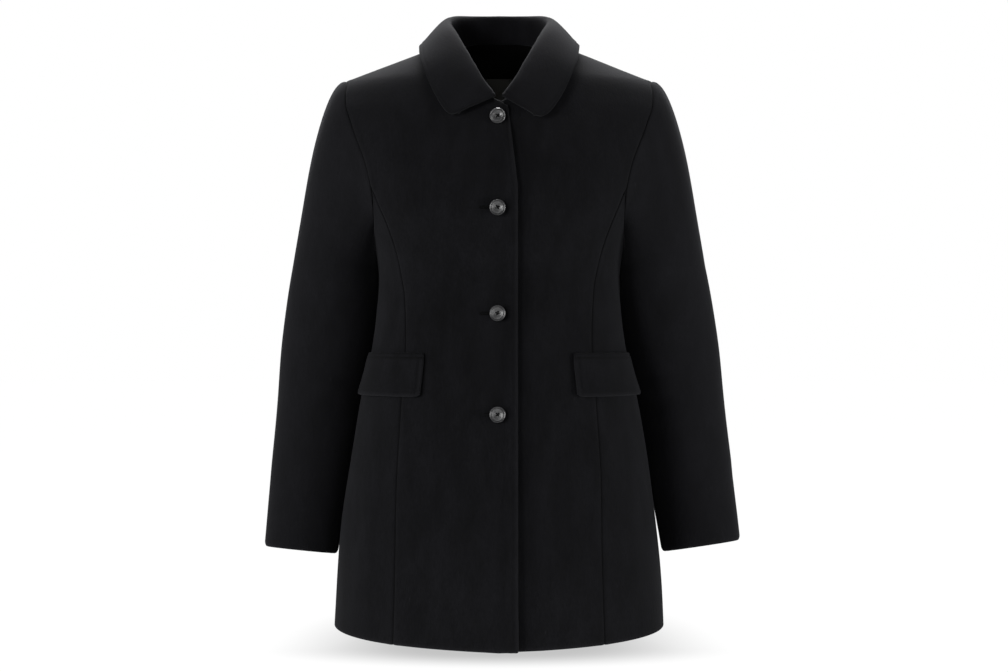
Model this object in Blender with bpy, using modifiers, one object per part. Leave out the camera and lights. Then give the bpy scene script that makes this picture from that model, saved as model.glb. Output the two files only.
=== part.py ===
"""Short single-breasted wool overcoat, hollow and filled out as if worn.

Metres, +Z up. The front faces -Y and the wearer's right is -X. The origin lies midway between
the two points where the shoulder seams meet the collar, where the shoulders carry the coat.
"""

import math

import bmesh
import bpy
import numpy as np

COAT = "overcoat"

# Cloth and the gaps between pieces
CLOTH = 0.0025               # wall of the wool cloth
SEAM_GAP = 0.0003            # between two pieces sewn edge to edge
LAY_GAP = 0.0009             # under a piece that lies on another

# Shoulders and neck
TIP_X = 0.1980               # shoulder tip, where the sleeve head starts
TIP_Z = -0.0485
SHOULDER_FALL = 0.390        # drop of the shoulder seam for each metre outwards
NECK_X = TIP_X + TIP_Z / SHOULDER_FALL
FRONT_NECK_DROP = 0.0835     # neckline at the centre front, below the origin
NECK_RUN = 0.70              # each front's neckline runs on down past the centre at this slope
FRONT_NECK_POWER = 1.30      # 1 is a straight V, 2 a round neckline
NAPE_RISE = 0.0130           # neckline at the centre back, above the origin
NAPE_FLAT = 3.0              # keeps the back neckline level across the nape
NECK_LEAN = 0.30             # how much narrower the neck gets for each metre up

# Hem and centre front
HEM_SIDE_Z = -0.7450
HEM_FRONT_DIP = 0.0110       # the hem hangs lower at the centre front
HEM_BACK_DIP = 0.0040
HEM_POWER = 1.3              # the front's dip is gathered towards the centre
OVERLAP = 0.0230             # each front runs this far past the centre
NECK_OVERLAP = 0.0115        # and this far at the neckline
OVERLAP_FADE = 0.0340        # width over which the under front comes back up to the form
OVERLAP_RISE = 0.0006        # the upper front stands this far off the form
OVERLAP_GAP = 0.0010         # between the two fronts where they overlap
EDGE_LIFT = 0.0035           # the upper front's free edge stands off near the hem
EDGE_LIFT_TOP = -0.4700

# Body form, from the hem to the nape. The powers give how flat a section is across the
# middle and how round it is at the side.
BODY_COLUMNS = ("z", "half_width", "front", "back", "flatness", "roundness")
BODY_LEVELS = (
    (-0.7600, 0.2120, 0.1600, 0.1540, 2.40, 2.15),
    (-0.6400, 0.2048, 0.1540, 0.1470, 2.40, 2.15),
    (-0.5400, 0.1918, 0.1460, 0.1390, 2.40, 2.15),
    (-0.4550, 0.1773, 0.1370, 0.1310, 2.40, 2.15),
    (-0.3900, 0.1634, 0.1270, 0.1190, 2.45, 2.15),
    (-0.3420, 0.1572, 0.1195, 0.1060, 2.50, 2.15),
    (-0.2980, 0.1545, 0.1190, 0.0985, 2.55, 2.10),
    (-0.2560, 0.1618, 0.1270, 0.1020, 2.70, 2.05),
    (-0.2150, 0.1800, 0.1320, 0.1070, 2.80, 2.00),
    (-0.1600, 0.2050, 0.1250, 0.1120, 2.75, 1.80),
    (-0.1100, 0.2240, 0.1090, 0.1110, 2.60, 1.65),
    (-0.0800, 0.2250, 0.0960, 0.1070, 2.50, 1.55),
    (TIP_Z, TIP_X, 0.0790, 0.0990, 2.35, 1.50),
    (-0.0200, 0.1250, 0.0560, 0.0890, 2.20, 1.45),
    (0.0000, NECK_X, 0.0380, 0.0800, 2.20, 1.45),
    (0.0150, 0.0355, 0.0260, 0.0710, 2.20, 1.45),
)

# Armholes: a loop cut into the form's sides
ARMHOLE_BOTTOM_Z = -0.2560
ARMHOLE_DROP = {"front": 0.190, "back": 0.150}   # how far in it is cut, as a share of the half width
ARMHOLE_TOP_POWER = 1.0
ARMHOLE_LOW_POWER = 1.8

# Princess seam: distance from the centre front at each level, from the hem up
PRINCESS_COLUMNS = ("z", "x")
PRINCESS_LEVELS = (
    (-0.7600, 0.1290),
    (-0.6450, 0.1262),
    (-0.5350, 0.1245),
    (-0.4500, 0.1195),
    (-0.3850, 0.1150),
    (-0.3130, 0.1195),
    (-0.2650, 0.1295),
    (-0.2250, 0.1440),
)
PRINCESS_TOP_Z = -0.1920

# Sleeve rings below the armhole, along the outer edge
SLEEVE_COLUMNS = ("z", "outer_x", "width", "middle_y", "depth")
SLEEVE_RINGS = (
    (-0.2850, 0.2668, 0.1110, 0.0130, 0.1320),
    (-0.3200, 0.2748, 0.1200, 0.0240, 0.1230),
    (-0.3800, 0.2852, 0.1257, 0.0360, 0.1170),
    (-0.4550, 0.2942, 0.1172, 0.0400, 0.1090),
    (-0.5350, 0.3021, 0.1101, 0.0320, 0.1000),
    (-0.6000, 0.3074, 0.1049, 0.0200, 0.0930),
    (-0.6480, 0.3118, 0.1013, 0.0080, 0.0880),
)
SLEEVE_DRAWN_IN = {"right": 0.0085, "left": 0.0000}    # the right cuff hangs nearer the body
SLEEVE_SHORT = {"right": -0.0040, "left": 0.0014}      # and a little lower
SLEEVE_NARROWED = 0.80                                 # share of that taken from the cuff's width
CUFF_TILT_OUT = {"right": 0.105, "left": 0.150}        # each cuff's outer edge is higher
CUFF_TILT_FRONT = 0.120      # and so is its front edge
SLEEVE_GAP = 0.0005          # between the armhole edge and the sleeve
HEAD_FALL = (1.0, 2.0)       # power of the sleeve's fall from the seam, at the underarm and at the top
HEAD_PUFF = 0.0020           # the sleeve head stands this far above the shoulder seam
HEAD_PUFF_PEAK = 9.48        # makes the puff's largest value 1
UNDERARM_TURN = (0.20, 0.90) # where the seam's wall turns to face the body, by height round the ring
HEAD_EASE = 0.80             # share of the sleeve head over which its wall turns from the seam

# Collar: one row for each station from the front end to the centre back
COLLAR_WALL = 0.0032
COLLAR_LIFT = 0.0065         # under the fall's edge
COLLAR_FOOT = (0.0026, 0.0012)      # between the neckline and the stand, in front and at the back
FALL_BOW = (0.40, 0.18)             # how strongly the fall comes down onto the body, front and back
COLLAR_SWING = {"right": (0.0, 0.0), "left": (-0.0050, -0.0016)}    # x and y by which a point moves
COLLAR_POINT = 0.25                 # share of the half collar that moves with its point
END_BOW = 0.35                      # share of the bow that is left at the front end
COLLAR_BACK = (0.25, 0.60)          # shares over which the front's values turn into the back's
FOLD_RADIUS = 0.0060         # at the fold, to the middle of the wall
COLLAR_COLUMNS = ("share", "foot", "fold_x", "fold_y", "fold_z", "edge_x", "edge_y")
COLLAR_STATIONS = (
    (0.000, 0.036, 0.0070, -0.1042, -0.0808, 0.0480, -0.1051),
    (0.045, 0.058, 0.0118, -0.1030, -0.0738, 0.0560, -0.1054),
    (0.090, 0.082, 0.0168, -0.1000, -0.0657, 0.0630, -0.1036),
    (0.140, 0.110, 0.0221, -0.0960, -0.0561, 0.0690, -0.0999),
    (0.250, 0.178, 0.0335, -0.0850, -0.0350, 0.0825, -0.0857),
    (0.370, 0.268, 0.0460, -0.0665, -0.0110, 0.0950, -0.0640),
    (0.500, 0.395, 0.0585, -0.0350, 0.0140, 0.1015, -0.0304),
    (0.620, 0.545, 0.0665, 0.0070, 0.0325, 0.1020, 0.0120),
    (0.740, 0.700, 0.0595, 0.0460, 0.0440, 0.0870, 0.0465),
    (0.870, 0.850, 0.0345, 0.0740, 0.0490, 0.0500, 0.0680),
    (1.000, 1.000, 0.0000, 0.0830, 0.0505, 0.0000, 0.0794),
)
ROOF_LOW_Z = -0.1600         # the collar's edge lies above this
ROOF_HALVINGS = 40

# Pockets
FLAP_TOP_Z = -0.4024
FLAP_BOTTOM_Z = -0.4500
FLAP_FRONT_X = (0.0901, 0.0941)     # front edge, at the top and at the bottom
FLAP_REAR_SHARE = 0.930
FLAP_THICK = 0.0032
FLAP_FLARE = 0.0018          # the lower edge stands off the panel
FLAP_CORNER = 0.0065
WELT_TOP_Z = -0.3962
WELT_THICK = 0.0028

# Buttons: turned profile as shares of the radius against height above the back
BUTTON_RADIUS = 0.0098
BUTTON_THICK = 0.0042
BUTTON_STAND = 0.0021        # its back stands this far off the front
BUTTON_LEAN = 0.45           # share of the front's lean that a button takes on its shank
BUTTON_X = -0.0015
BUTTON_Z = (-0.1060, -0.2185, -0.3475, -0.4705)
BUTTON_PROFILE = (           # radius, height
    (0.00, 0.00),
    (0.72, 0.00),
    (0.93, 0.28),
    (1.00, 0.60),
    (0.98, 0.86),
    (0.92, 1.00),
    (0.86, 0.92),
    (0.82, 0.84),
    (0.42, 0.62),
    (0.00, 0.56),
)
BUTTON_STEPS = 28
BUTTON_HOLES = 4
BUTTON_HOLE_RADIUS = 0.0009
BUTTON_HOLE_OUT = 0.0022
BUTTON_HOLE_STEPS = 10
BUTTON_HOLE_DEPTH = 4.0 * BUTTON_THICK

# Label inside the back neck
LABEL_WIDTH = 0.0350
LABEL_TOP_Z = -0.0295
LABEL_BOTTOM_Z = -0.0570
LABEL_THICK = 0.0010
LABEL_GAP = 0.0018           # between the label and the back's inner face
LABEL_ROWS = 3
LABEL_STEPS = 6

# How finely the pieces are divided. Pieces that meet share their steps along the seam.
LOW_ROWS = 14                # hem to underarm
ARM_FRONT_STEPS = 6          # round the armhole: shoulder tip to princess seam
ARM_LOW_STEPS = 5            # princess seam to underarm
ARM_BACK_STEPS = 9           # underarm to shoulder tip
FRONT_NECK_STEPS = 7
BACK_NECK_STEPS = 5
SHOULDER_STEPS = 4
UNDER_SLEEVE_FROM = ARM_FRONT_STEPS + 4
UNDER_SLEEVE_TO = ARM_FRONT_STEPS + ARM_LOW_STEPS + 5
SLEEVE_HEAD_ROWS = 5
SLEEVE_ROWS = 9
COLLAR_STAND_STEPS = 3
COLLAR_FALL_STEPS = 6
COLLAR_HALF_STATIONS = 19
COLLAR_EASE = 2              # rounds of evening out the wall's directions along the collar
COLLAR_CROWDING = 1.3        # gathers the steps towards the fold and the front ends
FLAP_ROWS = 5
FLAP_STEPS = 12

SIDES = (("right", -1.0), ("left", 1.0))
TINY = 1e-9
MERGE = 0.0001
STEP = 1e-4                  # for slopes worked out by small differences
SHARP = math.radians(40.0)   # edges turned more than this are shaded sharp

MATERIALS = {
    "wool": ((0.0125, 0.0130, 0.0150), 0.95),
    "button": ((0.060, 0.060, 0.062), 0.35),
    "label": ((0.075, 0.070, 0.055), 0.80),
}


def curve(columns, rows, key, name, at):
    """Smooth curve through one column of a table against another, read at the values asked for."""
    table = np.array(rows)
    xs = table[:, columns.index(key)]
    ys = table[:, columns.index(name)]
    at = np.clip(np.asarray(at, dtype=float), xs[0], xs[-1])
    gaps = np.diff(xs)
    rises = np.diff(ys) / gaps
    inner = (rises[:-1] * gaps[1:] + rises[1:] * gaps[:-1]) / (gaps[:-1] + gaps[1:])
    slopes = np.concatenate(([rises[0]], inner, [rises[-1]]))
    i = np.clip(np.searchsorted(xs, at) - 1, 0, len(xs) - 2)
    t = (at - xs[i]) / gaps[i]
    rest = 1.0 - t
    ends = ys[i] * rest * rest * (1.0 + 2.0 * t) + ys[i + 1] * t * t * (3.0 - 2.0 * t)
    return ends + gaps[i] * t * rest * (slopes[i] * rest - slopes[i + 1] * t)


def smooth(at, low, high):
    """Eased step from 0 at low to 1 at high."""
    t = np.clip((at - low) / (high - low), 0.0, 1.0)
    return t * t * (3.0 - 2.0 * t)


def unit(vectors):
    """Vectors of length one."""
    return vectors / np.maximum(np.linalg.norm(vectors, axis=-1, keepdims=True), TINY)


def level(name, z):
    """One column of the body table at each height."""
    return curve(BODY_COLUMNS, BODY_LEVELS, "z", name, z)


def half_width(z):
    """Half the body's width. It follows the shoulder seam above its tip, and the neck above that."""
    sloped = np.where(z > TIP_Z, TIP_X - (z - TIP_Z) / SHOULDER_FALL, level("half_width", z))
    return np.where(z > 0.0, NECK_X - NECK_LEAN * z, sloped)


def share_at(x, z):
    """Place round the section, from 0 at the centre to 1 at the side, for a distance from the centre."""
    flat = level("flatness", z)
    reach = np.clip(np.abs(x) / half_width(z), 0.0, 1.0)
    turn = np.arcsin(reach ** (flat / 2.0)) / (math.pi / 2.0)
    return np.sign(x) * turn ** (2.0 / flat)


def body_form(share, z, face):
    """Point on the outer face of the body; face is front or back."""
    share, z = np.broadcast_arrays(np.asarray(share, dtype=float), np.asarray(z, dtype=float))
    flat = level("flatness", z)
    turn = np.abs(share) ** (flat / 2.0) * math.pi / 2.0
    x = np.sign(share) * half_width(z) * np.sin(turn) ** (2.0 / flat)
    out = np.clip(np.cos(turn), 0.0, 1.0) ** (2.0 / level("roundness", z))
    y = out * level(face, z) * (-1.0 if face == "front" else 1.0)
    return np.stack([x, y, z], axis=-1)


def body_normal(share, z, face):
    """Outward direction of the body's outer face."""
    share, z = np.broadcast_arrays(np.asarray(share, dtype=float), np.asarray(z, dtype=float))
    across = (body_form(np.minimum(share + STEP, 1.0), z, face)
              - body_form(np.maximum(share - STEP, -1.0), z, face))
    up = body_form(share, z + STEP, face) - body_form(share, z - STEP, face)
    normal = np.cross(across, up) if face == "front" else np.cross(up, across)
    return unit(normal)


def hem_height(share, face):
    """Height of the hem round the body."""
    dip = HEM_FRONT_DIP if face == "front" else HEM_BACK_DIP
    return HEM_SIDE_Z - dip * (1.0 - np.abs(share)) ** HEM_POWER


def armhole(turn, face):
    """Share and height on the armhole loop; turn runs from 0 at the shoulder tip to pi at the underarm."""
    middle = (TIP_Z + ARMHOLE_BOTTOM_Z) / 2.0
    reach = (TIP_Z - ARMHOLE_BOTTOM_Z) / 2.0
    z = middle + reach * np.cos(turn)
    power = np.where(turn < math.pi / 2.0, ARMHOLE_TOP_POWER, ARMHOLE_LOW_POWER)
    cut = ARMHOLE_DROP[face] * np.clip(np.sin(turn), 0.0, 1.0) ** power
    return share_at((1.0 - cut) * half_width(z), z), z


def armhole_turn(z):
    """Place on the armhole loop at a height."""
    middle = (TIP_Z + ARMHOLE_BOTTOM_Z) / 2.0
    reach = (TIP_Z - ARMHOLE_BOTTOM_Z) / 2.0
    return math.acos((z - middle) / reach)


def princess(z):
    """Share of the princess seam, which ends on the armhole."""
    top_share, top_z = armhole(armhole_turn(PRINCESS_TOP_Z), "front")
    top = (float(top_z), float(body_form(top_share, top_z, "front")[0]))
    return share_at(curve(PRINCESS_COLUMNS, PRINCESS_LEVELS + (top,), "z", "x", z), z)


def neckline(x, face):
    """Share and height on the neckline at a distance from the centre."""
    out = np.clip(np.abs(x) / NECK_X, 0.0, 1.0)
    if face == "front":
        curved = -FRONT_NECK_DROP * (1.0 - out ** FRONT_NECK_POWER) ** (1.0 / FRONT_NECK_POWER)
        z = np.where(x < 0.0, -FRONT_NECK_DROP + NECK_RUN * x, curved)
    else:
        z = NAPE_RISE * (1.0 - out ** NAPE_FLAT) ** 2
    return share_at(x, z), z


def shoulder(x):
    """Share and height on the shoulder seam."""
    return np.ones_like(x), TIP_Z + (TIP_X - x) * SHOULDER_FALL


def patch(left, right, bottom, top):
    """Fills four edges, each two rows of numbers, with a grid of rows and columns."""
    left, right, bottom, top = (np.array(edge).T for edge in (left, right, bottom, top))
    u = np.linspace(0.0, 1.0, len(bottom))[None, :, None]
    v = np.linspace(0.0, 1.0, len(left))[:, None, None]
    sides = (1.0 - u) * left[:, None] + u * right[:, None]
    ends = (1.0 - v) * bottom[None, :] + v * top[None, :]
    corners = ((1.0 - u) * (1.0 - v) * left[0] + u * (1.0 - v) * right[0]
               + (1.0 - u) * v * left[-1] + u * v * right[-1])
    grid = sides + ends - corners
    return grid[..., 0], grid[..., 1]


def on_plan(share, z, face):
    """Distance from the centre and height of places on the body."""
    return np.array([body_form(share, z, face)[..., 0], z])


def tall_patch(side, hole, centre, top, face):
    """A panel in two parts: up to the armhole by shares, then by distances from the centre.

    side and centre are its long edges below the armhole, hole and top the edges above."""
    spread = np.linspace(0.0, 1.0, top.shape[1])
    base = centre[0, 0] + (side[0, 0] - centre[0, 0]) * spread
    line = centre[:, -1:] + (side[:, -1:] - centre[:, -1:]) * spread
    low_share, low_z = patch(centre, side, np.array([base, hem_height(base, face)]), line)
    rise = np.linspace(0.0, 1.0, hole.shape[1])
    foot = on_plan(*line, face)
    inner = foot[:, :1] + (top[:, :1] - foot[:, :1]) * rise
    x, z = patch(inner, on_plan(*hole, face), foot, top)
    share = np.concatenate([low_share, share_at(x, z)[1:]])
    share[-1, top[0] >= NECK_X] = 1.0
    return share, np.concatenate([low_z, z[1:]])


def draw_back(outer, inner, edges):
    """Moves the named edges of a wall half a seam gap towards their neighbours."""
    half = SEAM_GAP / 2.0
    rims = {"left": (np.s_[:, 0], np.s_[:, 1]), "right": (np.s_[:, -1], np.s_[:, -2]),
            "bottom": (np.s_[0], np.s_[1]), "top": (np.s_[-1], np.s_[-2])}
    moves = np.zeros_like(outer)
    for edge in edges:
        rim, beside = rims[edge]
        moves[rim] += half * unit(outer[beside] - outer[rim])
    return outer + moves, inner + moves


def panel(share, z, face, lift=0.0, thick=CLOTH):
    """Outer and inner faces of a wall on the body; lift moves it outwards."""
    normal = body_normal(share, z, face)
    lift = np.broadcast_to(np.asarray(lift, dtype=float), share.shape)[..., None]
    outer = body_form(share, z, face) + normal * lift
    return outer, outer - normal * thick


def wall(name, outer, inner, material):
    """Closed piece between two grids of points: a plane grid, placed, then extruded to the inner face."""
    rows, steps = outer.shape[:2]
    mesh = bpy.data.meshes.new(name)
    bm = bmesh.new()
    bmesh.ops.create_grid(bm, x_segments=steps - 1, y_segments=rows - 1, size=1.0)
    place = bm.verts.layers.int.new("place")
    for number, vert in enumerate(bm.verts):
        vert[place] = number
    made = bmesh.ops.extrude_face_region(bm, geom=bm.faces[:])["geom"]
    new = {part for part in made if isinstance(part, bmesh.types.BMVert)}
    for vert in bm.verts:
        face = inner if vert in new else outer
        vert.co = face.reshape(-1, 3)[vert[place]]
    bm.verts.layers.int.remove(place)
    bmesh.ops.recalc_face_normals(bm, faces=bm.faces[:])
    if bm.calc_volume(signed=True) < 0.0:
        bmesh.ops.reverse_faces(bm, faces=bm.faces[:])
    bm.to_mesh(mesh)
    bm.free()
    return add_object(name, mesh, material)


def add_object(name, mesh, material):
    """Links a mesh into the coat's collection with its material."""
    mesh.shade_smooth()
    mesh.set_sharp_from_angle(angle=SHARP)
    mesh.materials.append(material)
    piece = bpy.data.objects.new(name, mesh)
    bpy.data.collections[COAT].objects.link(piece)
    return piece


def mirrored(points, side):
    """Points of a piece made for +X, on the side asked for."""
    return points * np.array([side, 1.0, 1.0])


def seam_rows(low, high):
    """Heights of the rows between the hem and a seam's upper end."""
    return low + (high - low) * np.linspace(0.0, 1.0, LOW_ROWS + 1)


def arm_angles():
    """Angles round the armhole, over the front from the shoulder tip and up the back to it again."""
    turn = armhole_turn(PRINCESS_TOP_Z)
    return np.concatenate([np.linspace(0.0, turn, ARM_FRONT_STEPS + 1),
                           np.linspace(turn, math.pi, ARM_LOW_STEPS + 1)[1:],
                           np.linspace(math.pi, 2.0 * math.pi, ARM_BACK_STEPS + 1)[1:]])


def princess_seam():
    """Share and height along the princess seam."""
    z = seam_rows(hem_height(princess(np.array(HEM_SIDE_Z)), "front"), PRINCESS_TOP_Z)
    return np.array([princess(z), z])


def side_seam():
    """Share and height along the side seam."""
    z = seam_rows(HEM_SIDE_Z, ARMHOLE_BOTTOM_Z)
    return np.array([np.ones_like(z), z])


def top_edge(neck_x, face):
    """Distance from the centre and height along the neckline and the shoulder seam."""
    slope_x = np.linspace(NECK_X, TIP_X, SHOULDER_STEPS + 1)[1:]
    return np.array([np.concatenate([neck_x, slope_x]),
                     np.concatenate([neckline(neck_x, face)[1], shoulder(slope_x)[1]])])


def neck_steps(steps):
    """Distances from the centre, evenly round the neckline."""
    return NECK_X * np.sin(np.linspace(0.0, math.pi / 2.0, steps + 1))


def fronts(material):
    """Both fronts; the wearer's right one laps over the left one."""
    top = top_edge(np.concatenate([[-NECK_OVERLAP], neck_steps(FRONT_NECK_STEPS)]), "front")
    hole = np.array(armhole(arm_angles()[ARM_FRONT_STEPS::-1], "front"))
    edge_z = seam_rows(hem_height(0.0, "front"), PRINCESS_TOP_Z)
    edge = np.array([share_at(np.full_like(edge_z, -OVERLAP), edge_z), edge_z])
    share, z = tall_patch(princess_seam(), hole, edge, top, "front")
    x = body_form(share, z, "front")[..., 0]
    near = 1.0 - smooth(x, OVERLAP, OVERLAP + OVERLAP_FADE)
    free = (1.0 - smooth(x, -OVERLAP, OVERLAP)) * (1.0 - smooth(z, HEM_SIDE_Z, EDGE_LIFT_TOP))
    lifts = {"right": OVERLAP_RISE * near + EDGE_LIFT * free,
             "left": (OVERLAP_RISE - CLOTH - OVERLAP_GAP) * near}
    for name, side in SIDES:
        faces = draw_back(*panel(share, z, "front", lifts[name]), ("right", "top"))
        wall(name + "_front", *(mirrored(face, side) for face in faces), material)


def side_fronts(material):
    """Side fronts between the princess seam, the side seam and the low half of the armhole."""
    left, right = princess_seam(), side_seam()
    angles = arm_angles()[ARM_FRONT_STEPS:ARM_FRONT_STEPS + ARM_LOW_STEPS + 1]
    base = np.linspace(left[0, 0], 1.0, ARM_LOW_STEPS + 1)
    bottom = np.array([base, hem_height(base, "front")])
    share, z = patch(left, right, bottom, np.array(armhole(angles, "front")))
    faces = draw_back(*panel(share, z, "front"), ("left", "right", "top"))
    for name, side in SIDES:
        wall(name + "_side_front", *(mirrored(face, side) for face in faces), material)


def backs(material):
    """Back halves between the centre back seam, the side seam, the armhole and the shoulder."""
    angles = 2.0 * math.pi - arm_angles()[ARM_FRONT_STEPS + ARM_LOW_STEPS:]
    centre_z = seam_rows(hem_height(0.0, "back"), ARMHOLE_BOTTOM_Z)
    centre = np.array([np.zeros_like(centre_z), centre_z])
    top = top_edge(neck_steps(BACK_NECK_STEPS), "back")
    share, z = tall_patch(side_seam(), np.array(armhole(angles, "back")), centre, top, "back")
    faces = draw_back(*panel(share, z, "back"), ("left", "right", "top"))
    for name, side in SIDES:
        wall(name + "_back", *(mirrored(face, side) for face in faces), material)


def armhole_points(angle):
    """Points and outward directions on the whole armhole loop; angle runs over the front to the back."""
    ahead = angle <= math.pi
    turn = np.where(ahead, angle, 2.0 * math.pi - angle)
    points = np.empty(angle.shape + (3,))
    normals = np.empty(angle.shape + (3,))
    for face, here in (("front", ahead), ("back", ~ahead)):
        share, z = armhole(turn[here], face)
        points[here] = body_form(share, z, face)
        normals[here] = body_normal(share, z, face)
    return points, normals


def sleeve_ring(angle, down, side):
    """Points on the sleeve below the armhole; angle 0 is outside, then front, inside and back."""
    first, last = SLEEVE_RINGS[0][0], SLEEVE_RINGS[-1][0]
    z = first + (last - first) * down
    outer_x, width, middle_y, depth = (
        curve(SLEEVE_COLUMNS, SLEEVE_RINGS[::-1], "z", name, z) for name in SLEEVE_COLUMNS[1:])
    drawn = SLEEVE_DRAWN_IN[side] * down
    outer_x, width = outer_x - drawn, width - drawn * SLEEVE_NARROWED
    across = width / 2.0 * np.cos(angle)
    along = -depth / 2.0 * np.sin(angle)
    height = z + down * (SLEEVE_SHORT[side] + CUFF_TILT_OUT[side] * across - CUFF_TILT_FRONT * along)
    return np.stack([outer_x - width / 2.0 + across, middle_y + along, height], axis=-1)


def sleeve_point(angle, down, side):
    """Point on the sleeve; down is below 0 in the head, from -1 at the seam, and 1 at the cuff."""
    angle, down = np.broadcast_arrays(angle, down)
    points = sleeve_ring(angle, np.clip(down, 0.0, 1.0), side)
    seam = armhole_points(angle)[0] + np.array([SLEEVE_GAP, 0.0, 0.0])
    share = np.clip(1.0 + down, 0.0, 1.0)[..., None]
    low, high = HEAD_FALL
    fall = share ** (low + (high - low) * (0.5 + 0.5 * np.cos(angle)))[..., None]
    ease = np.concatenate([share, share, fall], axis=-1)
    puff = HEAD_PUFF * HEAD_PUFF_PEAK * share[..., 0] * (1.0 - share[..., 0]) ** 3
    puff = puff * np.clip(np.cos(angle), 0.0, 1.0)
    return seam + (points - seam) * ease + puff[..., None] * np.array([0.0, 0.0, 1.0])


def sleeve_grid(angle, down, side):
    """Outer and inner faces of part of a sleeve."""
    angle, down = np.meshgrid(angle, down)
    outer = sleeve_point(angle, down, side)
    around = sleeve_point(angle + STEP, down, side) - sleeve_point(angle - STEP, down, side)
    along = (sleeve_point(angle, np.minimum(down + STEP, 1.0), side)
             - sleeve_point(angle, np.maximum(down - STEP, -1.0), side))
    normal = unit(np.cross(around, along))
    body = armhole_points(angle)[1]
    low = smooth(-np.cos(angle), *UNDERARM_TURN)[..., None]
    seam = unit(body * (1.0 - low) + np.array([-1.0, 0.0, 0.0]) * low)
    ease = smooth(down, -1.0, HEAD_EASE - 1.0)[..., None]
    return outer, outer - unit(seam * (1.0 - ease) + normal * ease) * CLOTH


def sleeves(material):
    """Two-piece sleeves, with the front and back seams of a tailored sleeve."""
    head = -np.linspace(1.0, 0.0, SLEEVE_HEAD_ROWS + 1)
    down = np.concatenate([head, np.linspace(0.0, 1.0, SLEEVE_ROWS + 1)[1:]])
    angles = arm_angles()
    upper = np.concatenate([angles[UNDER_SLEEVE_TO:-1], angles[:UNDER_SLEEVE_FROM + 1]])
    spans = {"upper_sleeve": upper, "under_sleeve": angles[UNDER_SLEEVE_FROM:UNDER_SLEEVE_TO + 1]}
    for piece, span in spans.items():
        for name, side in SIDES:
            faces = draw_back(*sleeve_grid(span, down[::-1], name), ("left", "right"))
            wall(name + "_" + piece, *(mirrored(face, side) for face in faces), material)


def roof(x, y):
    """Share, height and face of the body under a place seen from above, by halving."""
    face = "front" if y < 0.0 else "back"
    low, high = ROOF_LOW_Z, TIP_Z + (TIP_X - x) * SHOULDER_FALL
    for _ in range(ROOF_HALVINGS):
        z = (low + high) / 2.0
        out = abs(body_form(share_at(x, z), z, face)[1])
        low, high = (low, z) if out < abs(y) else (z, high)
    return share_at(x, z), z, face


def collar_station(share, side):
    """Foot, fold, edge and bow of the collar at a share of the way from its front end to the back."""
    foot_turn, fold_x, fold_y, fold_z, edge_x, edge_y = (
        float(curve(COLLAR_COLUMNS, COLLAR_STATIONS, "share", name, share)) for name in COLLAR_COLUMNS[1:])
    fold = np.array([fold_x, fold_y, fold_z])
    turn = math.pi * foot_turn
    foot_face = "front" if turn < math.pi / 2.0 else "back"
    foot_share, foot_z = neckline(np.array(NECK_X * math.sin(turn)), foot_face)
    foot = body_form(foot_share, foot_z, foot_face)
    point = float(1.0 - smooth(share, 0.0, COLLAR_POINT))
    swing_x, swing_y = COLLAR_SWING[side]
    under = roof(edge_x + swing_x * point, edge_y + swing_y * point)
    out = body_normal(*under)
    edge = body_form(*under) + (COLLAR_WALL / 2.0 + COLLAR_LIFT) * out
    back = smooth(share, *COLLAR_BACK)
    gap, bow = (front + (rear - front) * back for front, rear in (COLLAR_FOOT, FALL_BOW))
    bow = bow * (1.0 + (END_BOW - 1.0) * point) * np.linalg.norm(edge - fold)
    return foot + gap * unit(fold - foot), fold, edge, -bow * out


def hermite(start, end, start_slope, end_slope, t):
    """Cubic curve between two points with the slopes given."""
    t = t[:, None]
    rest = 1.0 - t
    ends = start * rest * rest * (1.0 + 2.0 * t) + end * t * t * (3.0 - 2.0 * t)
    return ends + t * rest * (start_slope * rest - end_slope * t)


def collar_line(share, side):
    """Middle of the collar's wall at a station, from its foot over the fold to its edge."""
    foot, fold, edge, bow = collar_station(share, side)
    up = fold - foot
    fall = edge - fold
    across = unit(edge - foot - up * np.dot(edge - foot, up) / np.dot(up, up))
    drop = np.linalg.norm(fall - across * np.dot(fall, across))
    stand_pull = across * math.sqrt(4.0 * FOLD_RADIUS * np.linalg.norm(up))
    fall_pull = across * math.sqrt(4.0 * FOLD_RADIUS * drop)
    stand_t = 1.0 - np.linspace(1.0, 0.0, COLLAR_STAND_STEPS + 1) ** COLLAR_CROWDING
    fall_t = np.linspace(0.0, 1.0, COLLAR_FALL_STEPS + 1)[1:] ** COLLAR_CROWDING
    return np.concatenate([hermite(foot, fold, up, stand_pull, stand_t),
                           hermite(fold, edge, fall_pull, fall + bow, fall_t)])


def collar(material):
    """Turned-down collar in one piece, from one front end round the back to the other."""
    half = np.linspace(0.0, 1.0, COLLAR_HALF_STATIONS) ** COLLAR_CROWDING
    right, left = (mirrored(np.array([collar_line(share, name) for share in half]), side)
                   for name, side in SIDES)
    middle = np.concatenate([right, left[-2::-1]])
    normal = np.cross(np.gradient(middle, axis=0), np.gradient(middle, axis=1))
    for _ in range(COLLAR_EASE):
        beside = np.pad(normal, ((1, 1), (0, 0), (0, 0)), mode="edge")
        normal = beside[:-2] + beside[1:-1] + beside[2:]
    off = unit(normal) * COLLAR_WALL / 2.0
    wall("collar", middle + off, middle - off, material)


def pocket_strip(name, side, share, z, low, high, material):
    """A piece that lies on the front, between two heights above the panel's face."""
    normal = body_normal(share, z, "front")
    base = body_form(share, z, "front")
    faces = (base + normal * high[..., None], base + normal * low[..., None])
    wall(name, *(mirrored(face, side) for face in faces), material)


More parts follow.
